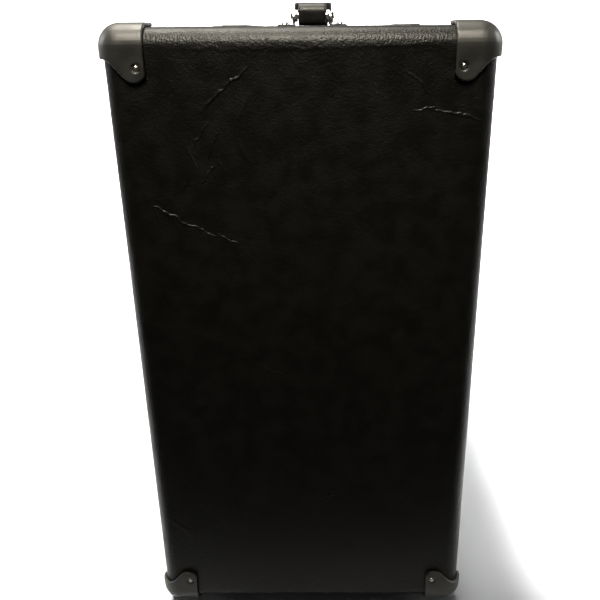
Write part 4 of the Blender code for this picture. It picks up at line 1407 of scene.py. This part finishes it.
@dataclass
class Controls:
    """The panel's print and screws, the selectors, the push buttons, the power switch and the lamp.

    Attributes:
        main: the joint, skirt radius, height and step of each knob.
        button: the push buttons' radius.
        lever_rest: how far the switch lever hangs down at rest, in degrees.
    """

    main: tuple[Selector, ...] = (
        Selector("filament_select", 19.0, 15.0, 1), Selector("bias_select", 19.0, 15.0, 10),
        Selector("load_select", 19.0, 15.0, 10),
        *(Selector(f"pin_selector_{i}", 12.5, 13.0, 1, 12) for i in (1, 2, 3, 4)),
    )
    button: float = 7.0
    lever_rest: float = 12.0

    def build(self) -> None:
        """Builds all of the controls."""
        dress(PANEL_METAL, "control_panel")
        dress(BAKELITE, "selector_deck", "button_bank")
        self.printing()
        for selector in self.main:
            selector.build()
        for name, finish in (("shorts", RED_BUTTON), ("gas", BAKELITE), ("value", BAKELITE)):
            self.push_button(name, finish)
        self.power_switch()
        self.lamp()

    def printing(self) -> None:
        """Scales, borders and screws on the panel."""
        low, high = node_box("control_panel")
        ink = Print(PANEL_Y - 0.02)
        numbers: dict[float, list] = {3.6: [], 2.9: []}
        for selector in self.main:
            numbers[3.6 if selector.skirt > 15 else 2.9] += selector.scale(ink)
        ink.border((-174, 122), (174, 173), 30)
        ink.border((-174, 179), (174, 250), 40)
        ink.border((-64, 66), (64, 104), 24)
        ink.border((-10, 361), (164, 466), 36)
        ink.border((low.x + 12, low.z + 12), (high.x - 12, high.z - 12), 60, 0.9, 9)
        for x in (-40, 0, 40):
            ink.line([(x - 3, 100), (x + 3, 100)], 0.6)
        ink.done("panel_lines", INK)
        for i, (height, items) in enumerate(numbers.items()):
            figures(f"panel_numbers_{i + 1}", items, height, PANEL_Y - 0.02).done(INK)
        sides = [
            (x, PANEL_Y, z)
            for x in (low.x + 7.5, high.x - 7.5)
            for z in (low.z + 9, 190, 330, high.z - 9)
        ]
        ends = [(0, PANEL_Y, z) for z in (low.z + 7.5, high.z - 7.5)]
        screws("panel_screws", sides + ends, Axis.FRONT, 3.2).done(ZINC)

    def push_button(self, name: str, finish: Finish) -> None:
        """A dished button in a turned ferrule."""
        low, high = node_box(f"{name}_button")
        at, r = ((low.x + high.x) / 2, PANEL_Y, (low.z + high.z) / 2), self.button
        profile = [
            (3, -15), (3, -1), (r - 0.2, -1), (r, -0.8), (r, 6.6), (r - 0.3, 7.4), (r - 1, 7.9),
            (r - 1.7, 8.0), (0.5 * r, 7.5), (0.0, 7.3)
        ]
        Piece.lathe(f"{name}_cap", profile, at, Axis.FRONT, 40).smooth(40).done(
            finish, f"{name}_button", [f"{name}_button"]
        )
        rim = [(r + 3.6, 0.05), (r + 3.6, 0.9), (r + 2.8, 1.9), (r + 1.6, 2.1), (r + 0.6, 1.6)]
        ring(f"{name}_ferrule", rim, r + 0.55, at, Axis.FRONT).smooth(30).done(CHROME)

    def power_switch(self) -> None:
        """The bat lever, its threaded bush and nut, and the body behind the panel."""
        at = pivot("power_toggle")
        low, high = node_box("toggle_body")
        start = PANEL_Y + 2.8
        body = Piece.block("switch_body", (low.x, start, low.z), high).bevel(1.2, 3)
        tags = [
            Piece.block("tag", (at.x - 2.4, high.y - 1, z - 0.4), (at.x + 2.4, high.y + 7, z + 0.4))
            for z in (75, 85, 95)
        ]
        hollow = [(4.4, 3), (4.4, -9)]
        body.combine(Boolean.CUT, Piece.lathe("well", hollow, (at.x, start, at.z), Axis.FRONT, 24))
        body.smooth(30).done(BAKELITE, replaces=["toggle_body"])
        joined("switch_tags", tags).done(ZINC)
        ridges = [((6.0, 5.6)[i % 2], 3.2 + 0.4 * i) for i in range(11)]
        thread = [(6.0, -0.4), *ridges, (5.4, 8.0)]
        bush = ring("switch_bush", thread, 4.4, (at.x, start, at.z), Axis.FRONT)
        nut = Piece.outline(
            "nut", arc((0, 0), 8.0, 0, 300, 5), 1.9, (at.x, PANEL_Y - 0.3, at.z), Axis.FRONT
        ).bevel(0.35, 2)
        nut.combine(
            Boolean.CUT, Piece.lathe("bore", [(6.0, -9), (6.0, 9)], (at.x, PANEL_Y, at.z), Axis.FRONT)
        )
        joined("switch_bush", [bush, nut]).smooth(30).done(CHROME)
        profile = [
            (0.0, -4), (1.6, -3.8), (2.8, -2.8), (3.5, -1.2), (3.6, 0), (3.3, 1.4), (2.4, 2.6), (1.7, 3.4),
            (1.6, 5), (1.8, 8), (2.4, 13), (2.8, 16), (2.7, 17.8), (2.1, 18.9), (1.2, 19.3), (0.0, 19.4)
        ]
        lever = Piece.lathe("switch_lever", profile, at, Axis.FRONT, 32)
        lever.turned(self.lever_rest, at, "X").smooth(50).done(CHROME, "toggle", ["toggle_lever"])

    def lamp(self) -> None:
        """The pilot lamp: a knurled bezel round a cut red lens."""
        low, high = node_box("pilot_lamp")
        at = ((low.x + high.x) / 2, PANEL_Y - 0.3, (low.z + high.z) / 2)
        rim = Piece.outline("rim", scallop(9.0, 0.5, 36, 4), 2.6, at, Axis.FRONT).bevel(0.4, 2)
        rim.combine(
            Boolean.JOIN,
            Piece.lathe("dome", [(8.2, 2.0), (8.0, 3.0), (7.2, 3.9), (6.3, 4.1)], at, Axis.FRONT)
        )
        rim.combine(Boolean.CUT, Piece.lathe("bore", [(6.2, -5), (6.2, 9)], at, Axis.FRONT))
        rim.smooth(35).done(CHROME)
        lens = [(6.0, -2.0), (6.0, 4.0), (5.4, 6.2), (4.0, 7.9), (2.0, 8.8), (0.0, 9.0)]
        Piece.lathe("lamp_lens", lens, at, Axis.FRONT, 10).done(JEWEL, replaces=["pilot_lamp"])
        holder = [(5.8, -18), (6.4, -17.4), (6.4, -2.1), (0.0, -2.1)]
        Piece.lathe("lamp_holder", holder, at, Axis.FRONT, 32).smooth(35).done(ZINC)


@dataclass(frozen=True)
class Socket:
    """One tube socket.

    Attributes:
        node: its frame node.
        body: the radius of the part that passes through the panel.
        pins: how many contacts it has.
        circle: the radius that they stand on.
        hole: the radius of a contact's hole.
        key: the radius of the middle hole.
        places: how many places the circle is divided into.
    """

    node: str
    body: float
    pins: int
    circle: float
    hole: float
    key: float
    places: int

    def build(self) -> None:
        """The moulded body with its contact holes, its rivets and the solder tags behind."""
        low, high = node_box(self.node)
        middle = (low + high) / 2
        face = PANEL_Y - 0.3
        at, flange, b = (middle.x, face, middle.z), (high.x - low.x) / 2, self.body
        profile = [
            (b, -14), (b, 0), (flange - 0.3, 0), (flange, 0.3), (flange, 1.1), (flange - 0.5, 1.5),
            (b - 0.2, 1.7), (b - 0.7, 2.5), (b - 1.3, 2.8), (0.0, 2.8)
        ]
        socket = Piece.lathe(f"{self.node}_moulded", profile, at, Axis.FRONT, 64)
        first = 360 / self.places
        angles = [180 + first * (i + (0.5 if self.pins == self.places else 1)) for i in range(self.pins)]
        wells = []
        for degrees in angles:
            x, z = on_dial(middle, self.circle, degrees)
            wells.append(
                Piece.lathe(
                    "well", [(self.hole, -7), (self.hole, 2.3), (self.hole + 0.7, 3.2)], (x, face, z),
                    Axis.FRONT, 16
                )
            )
        socket.combine(Boolean.CUT, joined("wells", wells))
        socket.combine(
            Boolean.CUT,
            Piece.lathe("key", [(self.key, -30), (self.key, 2.2), (self.key + 0.8, 3.4)], at, Axis.FRONT, 32)
        )
        if self.pins == 8:
            x, z = middle.x, middle.z - self.key
            socket.combine(
                Boolean.CUT,
                Piece.block("keyway", (x - 1.1, face - 5, z - 1.3), (x + 1.1, face + 30, z + 1.5))
            )
        socket.smooth(30).done(BAKELITE, replaces=[self.node])
        reach = (flange + b) / 2
        rivets = [
            Piece.lathe(
                "rivet", [(1.5, 1.4), (1.4, 1.9), (0.9, 2.3), (0.0, 2.4)],
                (middle.x + side * reach, face, middle.z), Axis.FRONT, 16
            )
            for side in (-1, 1)
        ]
        for degrees in angles:
            tag = Piece.block("tag", (middle.x - 0.9, face + 13.5, middle.z + self.circle - 0.25),
                              (middle.x + 0.9, face + 19, middle.z + self.circle + 0.25))
            rivets.append(tag.turned(degrees, middle, "Y"))
        joined(f"{self.node}_metal", rivets).smooth(35).done(ZINC)


SOCKETS = (
    Socket("octal_socket", 14.5, 8, 8.73, 1.35, 4.2, 8),
    Socket("loctal_socket", 14.5, 8, 8.73, 0.95, 4.2, 8),
    Socket("seven_pin_socket", 16.5, 7, 11.1, 1.75, 2.4, 8),
    Socket("noval_socket", 11.0, 9, 5.95, 0.75, 2.2, 10),
    Socket("miniature_socket", 9.5, 7, 4.76, 0.75, 1.7, 8),
)


@dataclass
class RollChart:
    """The chart window with its two rollers.

    Attributes:
        core: the rollers' radius under the paper.
        half: half of the rollers' length.
        wheel_x: where the thumbwheels are.
        wheel: the thumbwheels' radius.
        window: the window's width and height.
    """

    core: float = 8.3
    half: float = 131.0
    wheel_x: float = 166.0
    wheel: float = 19.0
    window: tuple[float, float] = (260.0, 40.0)

    def build(self) -> None:
        """Builds the bezel, the paper with its rows, and the rollers."""
        dress(GLASS, "chart_window")
        dress(ZINC, "chart_cradle")
        self.bezel()
        self.paper()
        for level in ("upper", "lower"):
            self.roller(level)

    def bezel(self) -> None:
        """A stamped frame with a sloped inner edge, held by four screws."""
        low, high = node_box("chart_bezel")
        middle = (low + high) / 2
        frame_plate = Piece.block("chart_frame", low, high)
        half_x, half_z = self.window[0] / 2, self.window[1] / 2
        hole = Piece.block(
            "hole", (middle.x - half_x, low.y - 5, middle.z - half_z),
            (middle.x + half_x, high.y + 5, middle.z + half_z)
        )
        frame_plate.combine(Boolean.CUT, hole)
        frame_plate.bevel(1.6, 4, lambda e: all(v.co.y < (low.y + 0.1) * MM for v in e.verts))
        frame_plate.smooth(30).done(CHROME, replaces=["chart_bezel"])
        spots = [
            (middle.x + side * 139, low.y - 0.05, middle.z + up * 23)
            for side in (-1, 1)
            for up in (-1, 1)
        ]
        screws("chart_frame_screws", spots, Axis.FRONT, 2.4).done(ZINC)

    def paper(self) -> None:
        """The chart, drawn tight from roller to roller, with ruled rows of numbers."""
        upper, lower = pivot("chart_upper_turn"), pivot("chart_lower_turn")
        r = self.core + 0.35
        path = [
            (upper.z + r * math.sin(a), upper.y - r * math.cos(a))
            for a in (math.radians(150 - 15 * i) for i in range(11))
        ]
        path += [
            (lower.z - r * math.sin(a), lower.y - r * math.cos(a))
            for a in (math.radians(15 * i) for i in range(11))
        ]
        half = self.half - 4
        sheet = Piece.outline(
            "chart_paper", [(-z, y) for z, y in strip(path, 0.3)], 2 * half, (-half, 0, 0), Axis.RIGHT
        )
        sheet.smooth(30).done(CHART_PAPER)
        level = upper.y - r - 0.17
        rules = Print(level)
        middle = (upper.z + lower.z) / 2
        for i in range(-2, 3):
            rules.line([(-half + 2, middle + 7.2 * i + 3.6), (half - 2, middle + 7.2 * i + 3.6)], 0.25)
        columns = [-112 + 28 * i for i in range(9)]
        for x in columns[:-1]:
            rules.line([(x + 14, middle - 15), (x + 14, middle + 18)], 0.25)
        rules.done("chart_rules", INK)
        rows = [
            (
                str((7 * i * i + 11 * k + 5 * i * k) % 97), x, middle + 7.2 * k
            ) for k in (-2, -1, 0, 1, 2) for i,
            x in enumerate(columns)
        ]
        figures("chart_numbers", rows, 3.4, level).done(INK)
        hair = Print(node_box("chart_window")[1].y + 0.2)
        hair.line([(-half - 2, middle + 3.6), (half + 2, middle + 3.6)], 0.5)
        hair.done("chart_hairline", RED_INK)

    def roller(self, level: str) -> None:
        """A turned roller with its knurled thumbwheel."""
        at, body = pivot(f"chart_{level}_turn"), f"roller_{level}"
        lug = -node_box(f"chart_{body}")[0].x
        profile = [
            (2.6, -lug), (3.0, -lug + 0.5), (3.0, -self.half), (8.6, -self.half), (9.0, 0.4 - self.half),
            (9.0, 2.2 - self.half), (self.core, 2.4 - self.half), (self.core, self.half - 2.4),
            (9.0, self.half - 2.2), (9.0, self.half - 0.4), (8.6, self.half), (3.0, self.half),
            (3.0, self.wheel_x)
        ]
        core = Piece.lathe("core", profile, at, Axis.RIGHT, 40)
        rim = Piece.outline(
            "rim", scallop(self.wheel, 0.8, 40, 4), 7.0, (self.wheel_x - 3.5, at.y, at.z), Axis.RIGHT
        ).bevel(0.7, 2)
        hub = Piece.lathe(
            "hub", [(6, 3.2), (6, 5.6), (5.2, 6.4), (3, 6.4)], (self.wheel_x - 10, at.y, at.z), Axis.RIGHT
        )
        dish = Piece.lathe("dish", [(14.5, 2.2), (15.5, 3.6)], (self.wheel_x, at.y, at.z), Axis.RIGHT)
        rim.combine(Boolean.CUT, dish)
        joined(f"chart_{body}_turned", [core, rim, hub]).smooth(35).done(BAKELITE, body, [f"chart_{body}"])


# ---------------------------------------------------------------- inside and rear


@dataclass
class Inside:
    """The chassis and the mains transformer behind the panel."""

    coil: float = 30.0

    def build(self) -> None:
        """Dresses the chassis and builds the transformer."""
        dress(ZINC, "chassis")
        low, high = node_box("power_transformer")
        middle = (low + high) / 2
        stack = high.y - 16
        core = Piece.block(
            "core", (middle.x - 50, low.y + 2.6, middle.z - 42), (middle.x + 50, stack, middle.z + 42)
        ).bevel(0.8, 2)
        core.obj.name = "transformer_core"
        core.smooth(30).done(LAMINATIONS, replaces=["power_transformer"])
        coil = Piece.block("transformer_coil", (middle.x - self.coil, stack - 30, middle.z - self.coil + 1),
                           (middle.x + self.coil, high.y - 1.5, middle.z + self.coil - 1)).bevel(6.0, 6)
        coil.smooth(40).done(COIL_PAPER)
        flange = Piece.block(
            "cheek", (middle.x - 34, stack + 0.1, middle.z - 33),
            (middle.x + 34, stack + 1.8, middle.z + 33)
        ).bevel(0.5, 2)
        flange.obj.name = "transformer_cheek"
        flange.smooth(30).done(BAKELITE)
        foot = Piece.block(
            "foot", (low.x, low.y, middle.z - 30), (high.x, low.y + 2.5, middle.z + 30)
        ).bevel(0.6, 2)
        strap = [
            Piece.block(
                "strap", (middle.x + side * 46 - 4, low.y + 1, middle.z - 42.8),
                (middle.x + side * 46 + 4, stack + 1.2, middle.z + 42.8)
            ).bevel(0.6, 2)
            for side in (-1, 1)
        ]
        metal = joined("transformer_clamp", [foot, *strap])
        metal.smooth(30).done(ZINC)
        spots = [
            (middle.x + side * 46, stack + 1.2, middle.z + up * 36)
            for side in (-1, 1)
            for up in (-1, 1)
        ]
        screws("transformer_bolts", spots, Axis.REAR, 3.0).done(ZINC)


@dataclass
class Rear:
    """The louvred back with its mains inlet and fuse holder.

    Attributes:
        louvre_x: the middles of the two banks of louvres.
        louvre_z: the lowest slot.
        pitch: from one slot to the next.
        rows: how many slots a bank has.
    """

    louvre_x: tuple[float, float] = (-90.0, 90.0)
    louvre_z: float = 330.0
    pitch: float = 16.0
    rows: int = 7

    def build(self) -> None:
        """Builds all of the rear."""
        dress(BACK_ENAMEL, "rear_panel")
        low, high = node_box("rear_panel")
        self.louvres(high.y)
        sides = [
            (x, high.y, z)
            for x in (low.x + 7.5, high.x - 7.5)
            for z in (low.z + 9, 190, 330, high.z - 9)
        ]
        screws(
            "back_screws", sides + [(0, high.y, z) for z in (low.z + 7.5, high.z - 7.5)], Axis.REAR, 3.2
        ).done(ZINC)
        self.inlet()
        self.fuse()

    def louvres(self, face: float) -> None:
        """A pressed hood over every slot."""
        curve = [
            (self.louvre_z + 7.0 * math.cos(a), face + 0.4 + 4.2 * math.sin(a))
            for a in (math.radians(9 * i) for i in range(11))
        ]
        hood = Piece.outline("hood", [(-z, y) for z, y in strip(curve, 0.8)], 124, (-62, 0, 0), Axis.RIGHT)
        ends = [
            Piece.outline(
                "end",
                [(-z, y) for z, y in [*curve, (self.louvre_z, face + 0.1), (self.louvre_z + 7, face + 0.1)]],
                0.8, (x, 0, 0), Axis.RIGHT
            )
            for x in (-62, 61.2)
        ]
        one = joined("hood", [hood, *ends])
        copies = [
            one.copy("louvre", Matrix.Translation(Vector((x, 0, self.pitch * i)) * MM))
            for x in self.louvre_x
            for i in range(self.rows)
        ]
        bpy.data.objects.remove(one.obj)
        joined("back_louvres", copies).smooth(30).done(BACK_ENAMEL)

    def inlet(self) -> None:
        """The recessed two-pin inlet."""
        low, high = node_box("mains_inlet")
        middle = (low + high) / 2
        face = high.y - 2.5
        body = Piece.block("inlet_body", (low.x, face, low.z), high).bevel(
            4, 5, lambda e: abs(e.verts[0].co.y - e.verts[1].co.y) > MM
        )
        body.bevel(0.7, 2, lambda e: all(v.co.y > (high.y - 0.1) * MM for v in e.verts))
        body.combine(
            Boolean.JOIN,
            Piece.block(
                "shell", (middle.x - 14.7, low.y, middle.z - 11.7),
                (middle.x + 14.7, face + 1, middle.z + 11.7)
            )
        )
        well = Piece.block(
            "well", (middle.x - 12.2, face - 16, middle.z - 9.2),
            (middle.x + 12.2, face + 9, middle.z + 9.2)
        )
        body.combine(Boolean.CUT, well.bevel(4.0, 5, lambda e: abs(e.verts[0].co.y - e.verts[1].co.y) > MM))
        body.smooth(30).done(BAKELITE, replaces=["mains_inlet"])
        pins = [
            Piece.lathe(
                "pin", [(2.0, -17), (2.0, -5.6), (1.6, -4.6), (0.8, -4.1), (0.0, -4.0)],
                (middle.x + x, face, middle.z), Axis.REAR, 20
            )
            for x in (-6, 6)
        ]
        joined("inlet_pins", pins).smooth(40).done(CHROME)
        screws(
            "inlet_screws", [(middle.x + x, high.y, middle.z) for x in (-19, 19)], Axis.REAR, 2.0
        ).done(ZINC)

    def fuse(self) -> None:
        """The fuse holder with its knurled, slotted cap."""
        low, high = node_box("fuse_holder")
        at = ((low.x + high.x) / 2, high.y - 9, (low.z + high.z) / 2)
        body = [(6.4, -26), (6.5, -25.4), (6.5, 0), (9.0, 0), (9.0, 1.6), (8.4, 2.2), (6.0, 2.4)]
        cap = Piece.outline(
            "cap", scallop(7.2, 0.6, 24, 5), 7.0, (at[0], at[1] + 2.0, at[2]), Axis.REAR
        ).bevel(0.6, 2)
        cap.combine(
            Boolean.CUT,
            Piece.block("slit", (at[0] - 5, at[1] + 7.8, at[2] - 0.8), (at[0] + 5, at[1] + 12, at[2] + 0.8))
        )
        whole = joined("fuse_body", [Piece.lathe("body", body, at, Axis.REAR, 40), cap])
        whole.smooth(35).done(BAKELITE, replaces=["fuse_holder"])


# ---------------------------------------------------------------- studio


@dataclass
class Studio:
    """The floor, the lights and the camera."""

    camera_at: Colour = (-0.6878, -0.0217, 0.4969)
    yaw: float = 0.36
    pitch: float = -21.76
    roll: float = -0.42
    lens: float = 40.5
    shift: float = -0.0497
    warm: Colour = (1.0, 0.965, 0.89)

    def build(self) -> None:
        """Sets the floor, the lights, the world and the camera."""
        self.floor()
        self.link_floor(
            "EXCLUDE",
            self.light("edge_softbox", (-0.63, 0.05, 1.17), (-0.20, 0.0, 0.54), 0.50, 1.8, 28, self.warm),
            self.light("key_softbox", (0.45, 0.25, 1.60), (0.20, 0.0, 0.40), 1.20, 11.5, 60, self.warm),
            self.light("panel_softbox", (0.45, -2.0, 1.20), (0.05, 0.0, 0.25), 1.0, 3.0, 50),
            self.light("back_softbox", (0.45, 2.0, 1.20), (0.05, 0.0, 0.25), 1.0, 3.0, 50),
        )
        self.link_floor(
            "INCLUDE",
            self.light("floor_panel", (1.07, 0.0, 1.2), (1.07, 0.0, 0.0), 2.6, 9.0, 10),
            self.light("floor_side_panel", (1.07, 0.35, 1.2), (1.07, 0.15, 0.0), 2.6, 36.0, 10),
        )
        self.light("backdrop_light", (2.4, 0.0, 2.2), (2.4, 0.0, 0.0), 3.6, 150.0, 50)
        self.light("far_light", (14.0, 0.0, 6.0), (14.0, 0.0, 0.0), 20.0, 6000.0, 60)
        self.world()
        self.camera()
        bpy.context.scene.view_settings.view_transform = "Standard"

    def floor(self) -> None:
        """A plain pale floor, and the far white wall behind it."""
        for name, place, turn, glow in (
            ("floor", (0, 0, 0), (0, 0, 0), 0.0),
            ("far_wall", (18.0, 0, 0), (0, math.pi / 2, 0), 1.0),
        ):
            clear_selection()
            bpy.ops.mesh.primitive_plane_add(size=60.0 if glow == 0 else 12.0, location=place, rotation=turn)
            sheet = bpy.context.object
            sheet.name = name
            sheet.scale.y = 1.0 if glow == 0 else 8.0
            bpy.ops.object.transform_apply(location=True, rotation=True, scale=True)
            material = bpy.data.materials.new(f"pale_{name}")
            material.use_nodes = True
            shader = material.node_tree.nodes["Principled BSDF"]
            shader.inputs["Base Color"].default_value = (0.82, 0.82, 0.82, 1.0)
            shader.inputs["Roughness"].default_value = 0.8
            shader.inputs["Emission Color"].default_value = (1.0, 1.0, 1.0, 1.0)
            shader.inputs["Emission Strength"].default_value = glow
            sheet.data.materials.append(material)

    def link_floor(self, state: str, *lamps: bpy.types.Object) -> None:
        """Says whether lamps light everything but the floor, or nothing but the floor."""
        linked = bpy.data.collections.new(f"floor_{state.lower()}")
        linked.objects.link(bpy.data.objects["floor"])
        linked.collection_objects[0].light_linking.link_state = state
        for lamp in lamps:
            lamp.light_linking.receiver_collection = linked

    def light(
        self, name: str, at: Point, target: Point, size: float, power: float, spread: float,
        tint: Colour = (1.0, 1.0, 1.0)
    ) -> bpy.types.Object:
        """A square softbox that faces a point, with its beam's spread in degrees."""
        data = bpy.data.lights.new(name, "AREA")
        data.size = size
        data.energy = power
        data.spread = math.radians(spread)
        data.color = tint
        lamp = bpy.data.objects.new(name, data)
        bpy.context.scene.collection.objects.link(lamp)
        lamp.location = at
        lamp.rotation_euler = (Vector(target) - Vector(at)).to_track_quat("-Z", "Y").to_euler()
        lamp.visible_camera = False
        return lamp

    def world(self) -> None:
        """A dim, even surround."""
        world = bpy.data.worlds.new("surround")
        world.use_nodes = True
        world.node_tree.nodes["Background"].inputs["Color"].default_value = (1.0, 1.0, 1.0, 1.0)
        world.node_tree.nodes["Background"].inputs["Strength"].default_value = 0.03
        bpy.context.scene.world = world

    def camera(self) -> None:
        """The camera on the cabinet's end, a little above its top."""
        data = bpy.data.cameras.new("camera")
        data.lens = self.lens
        data.sensor_width = 36.0
        data.shift_x = self.shift
        data.clip_end = 100.0
        camera = bpy.data.objects.new("camera", data)
        bpy.context.scene.collection.objects.link(camera)
        yaw, pitch, roll = (math.radians(a) for a in (self.yaw, self.pitch, self.roll))
        forward = Vector((math.cos(pitch) * math.cos(yaw), math.cos(pitch) * math.sin(yaw), math.sin(pitch)))
        right = forward.cross(Vector((0, 0, 1))).normalized()
        up = right.cross(forward)
        across = right * math.cos(roll) + up * math.sin(roll)
        upright = up * math.cos(roll) - right * math.sin(roll)
        turn = Matrix((across, upright, -forward)).transposed().to_4x4()
        camera.matrix_world = Matrix.Translation(self.camera_at) @ turn
        bpy.context.scene.camera = camera


def main() -> None:
    """Builds every sub-assembly in turn."""
    logging.basicConfig(level=logging.INFO, format="%(message)s")
    Cabinet().build()
    CornerProtectors().build()
    StrapHandle().build()
    Meter().build()
    Controls().build()
    for socket in SOCKETS:
        socket.build()
    RollChart().build()
    Inside().build()
    Rear().build()
    Studio().build()
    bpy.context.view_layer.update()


if __name__ == "__main__":
    main()
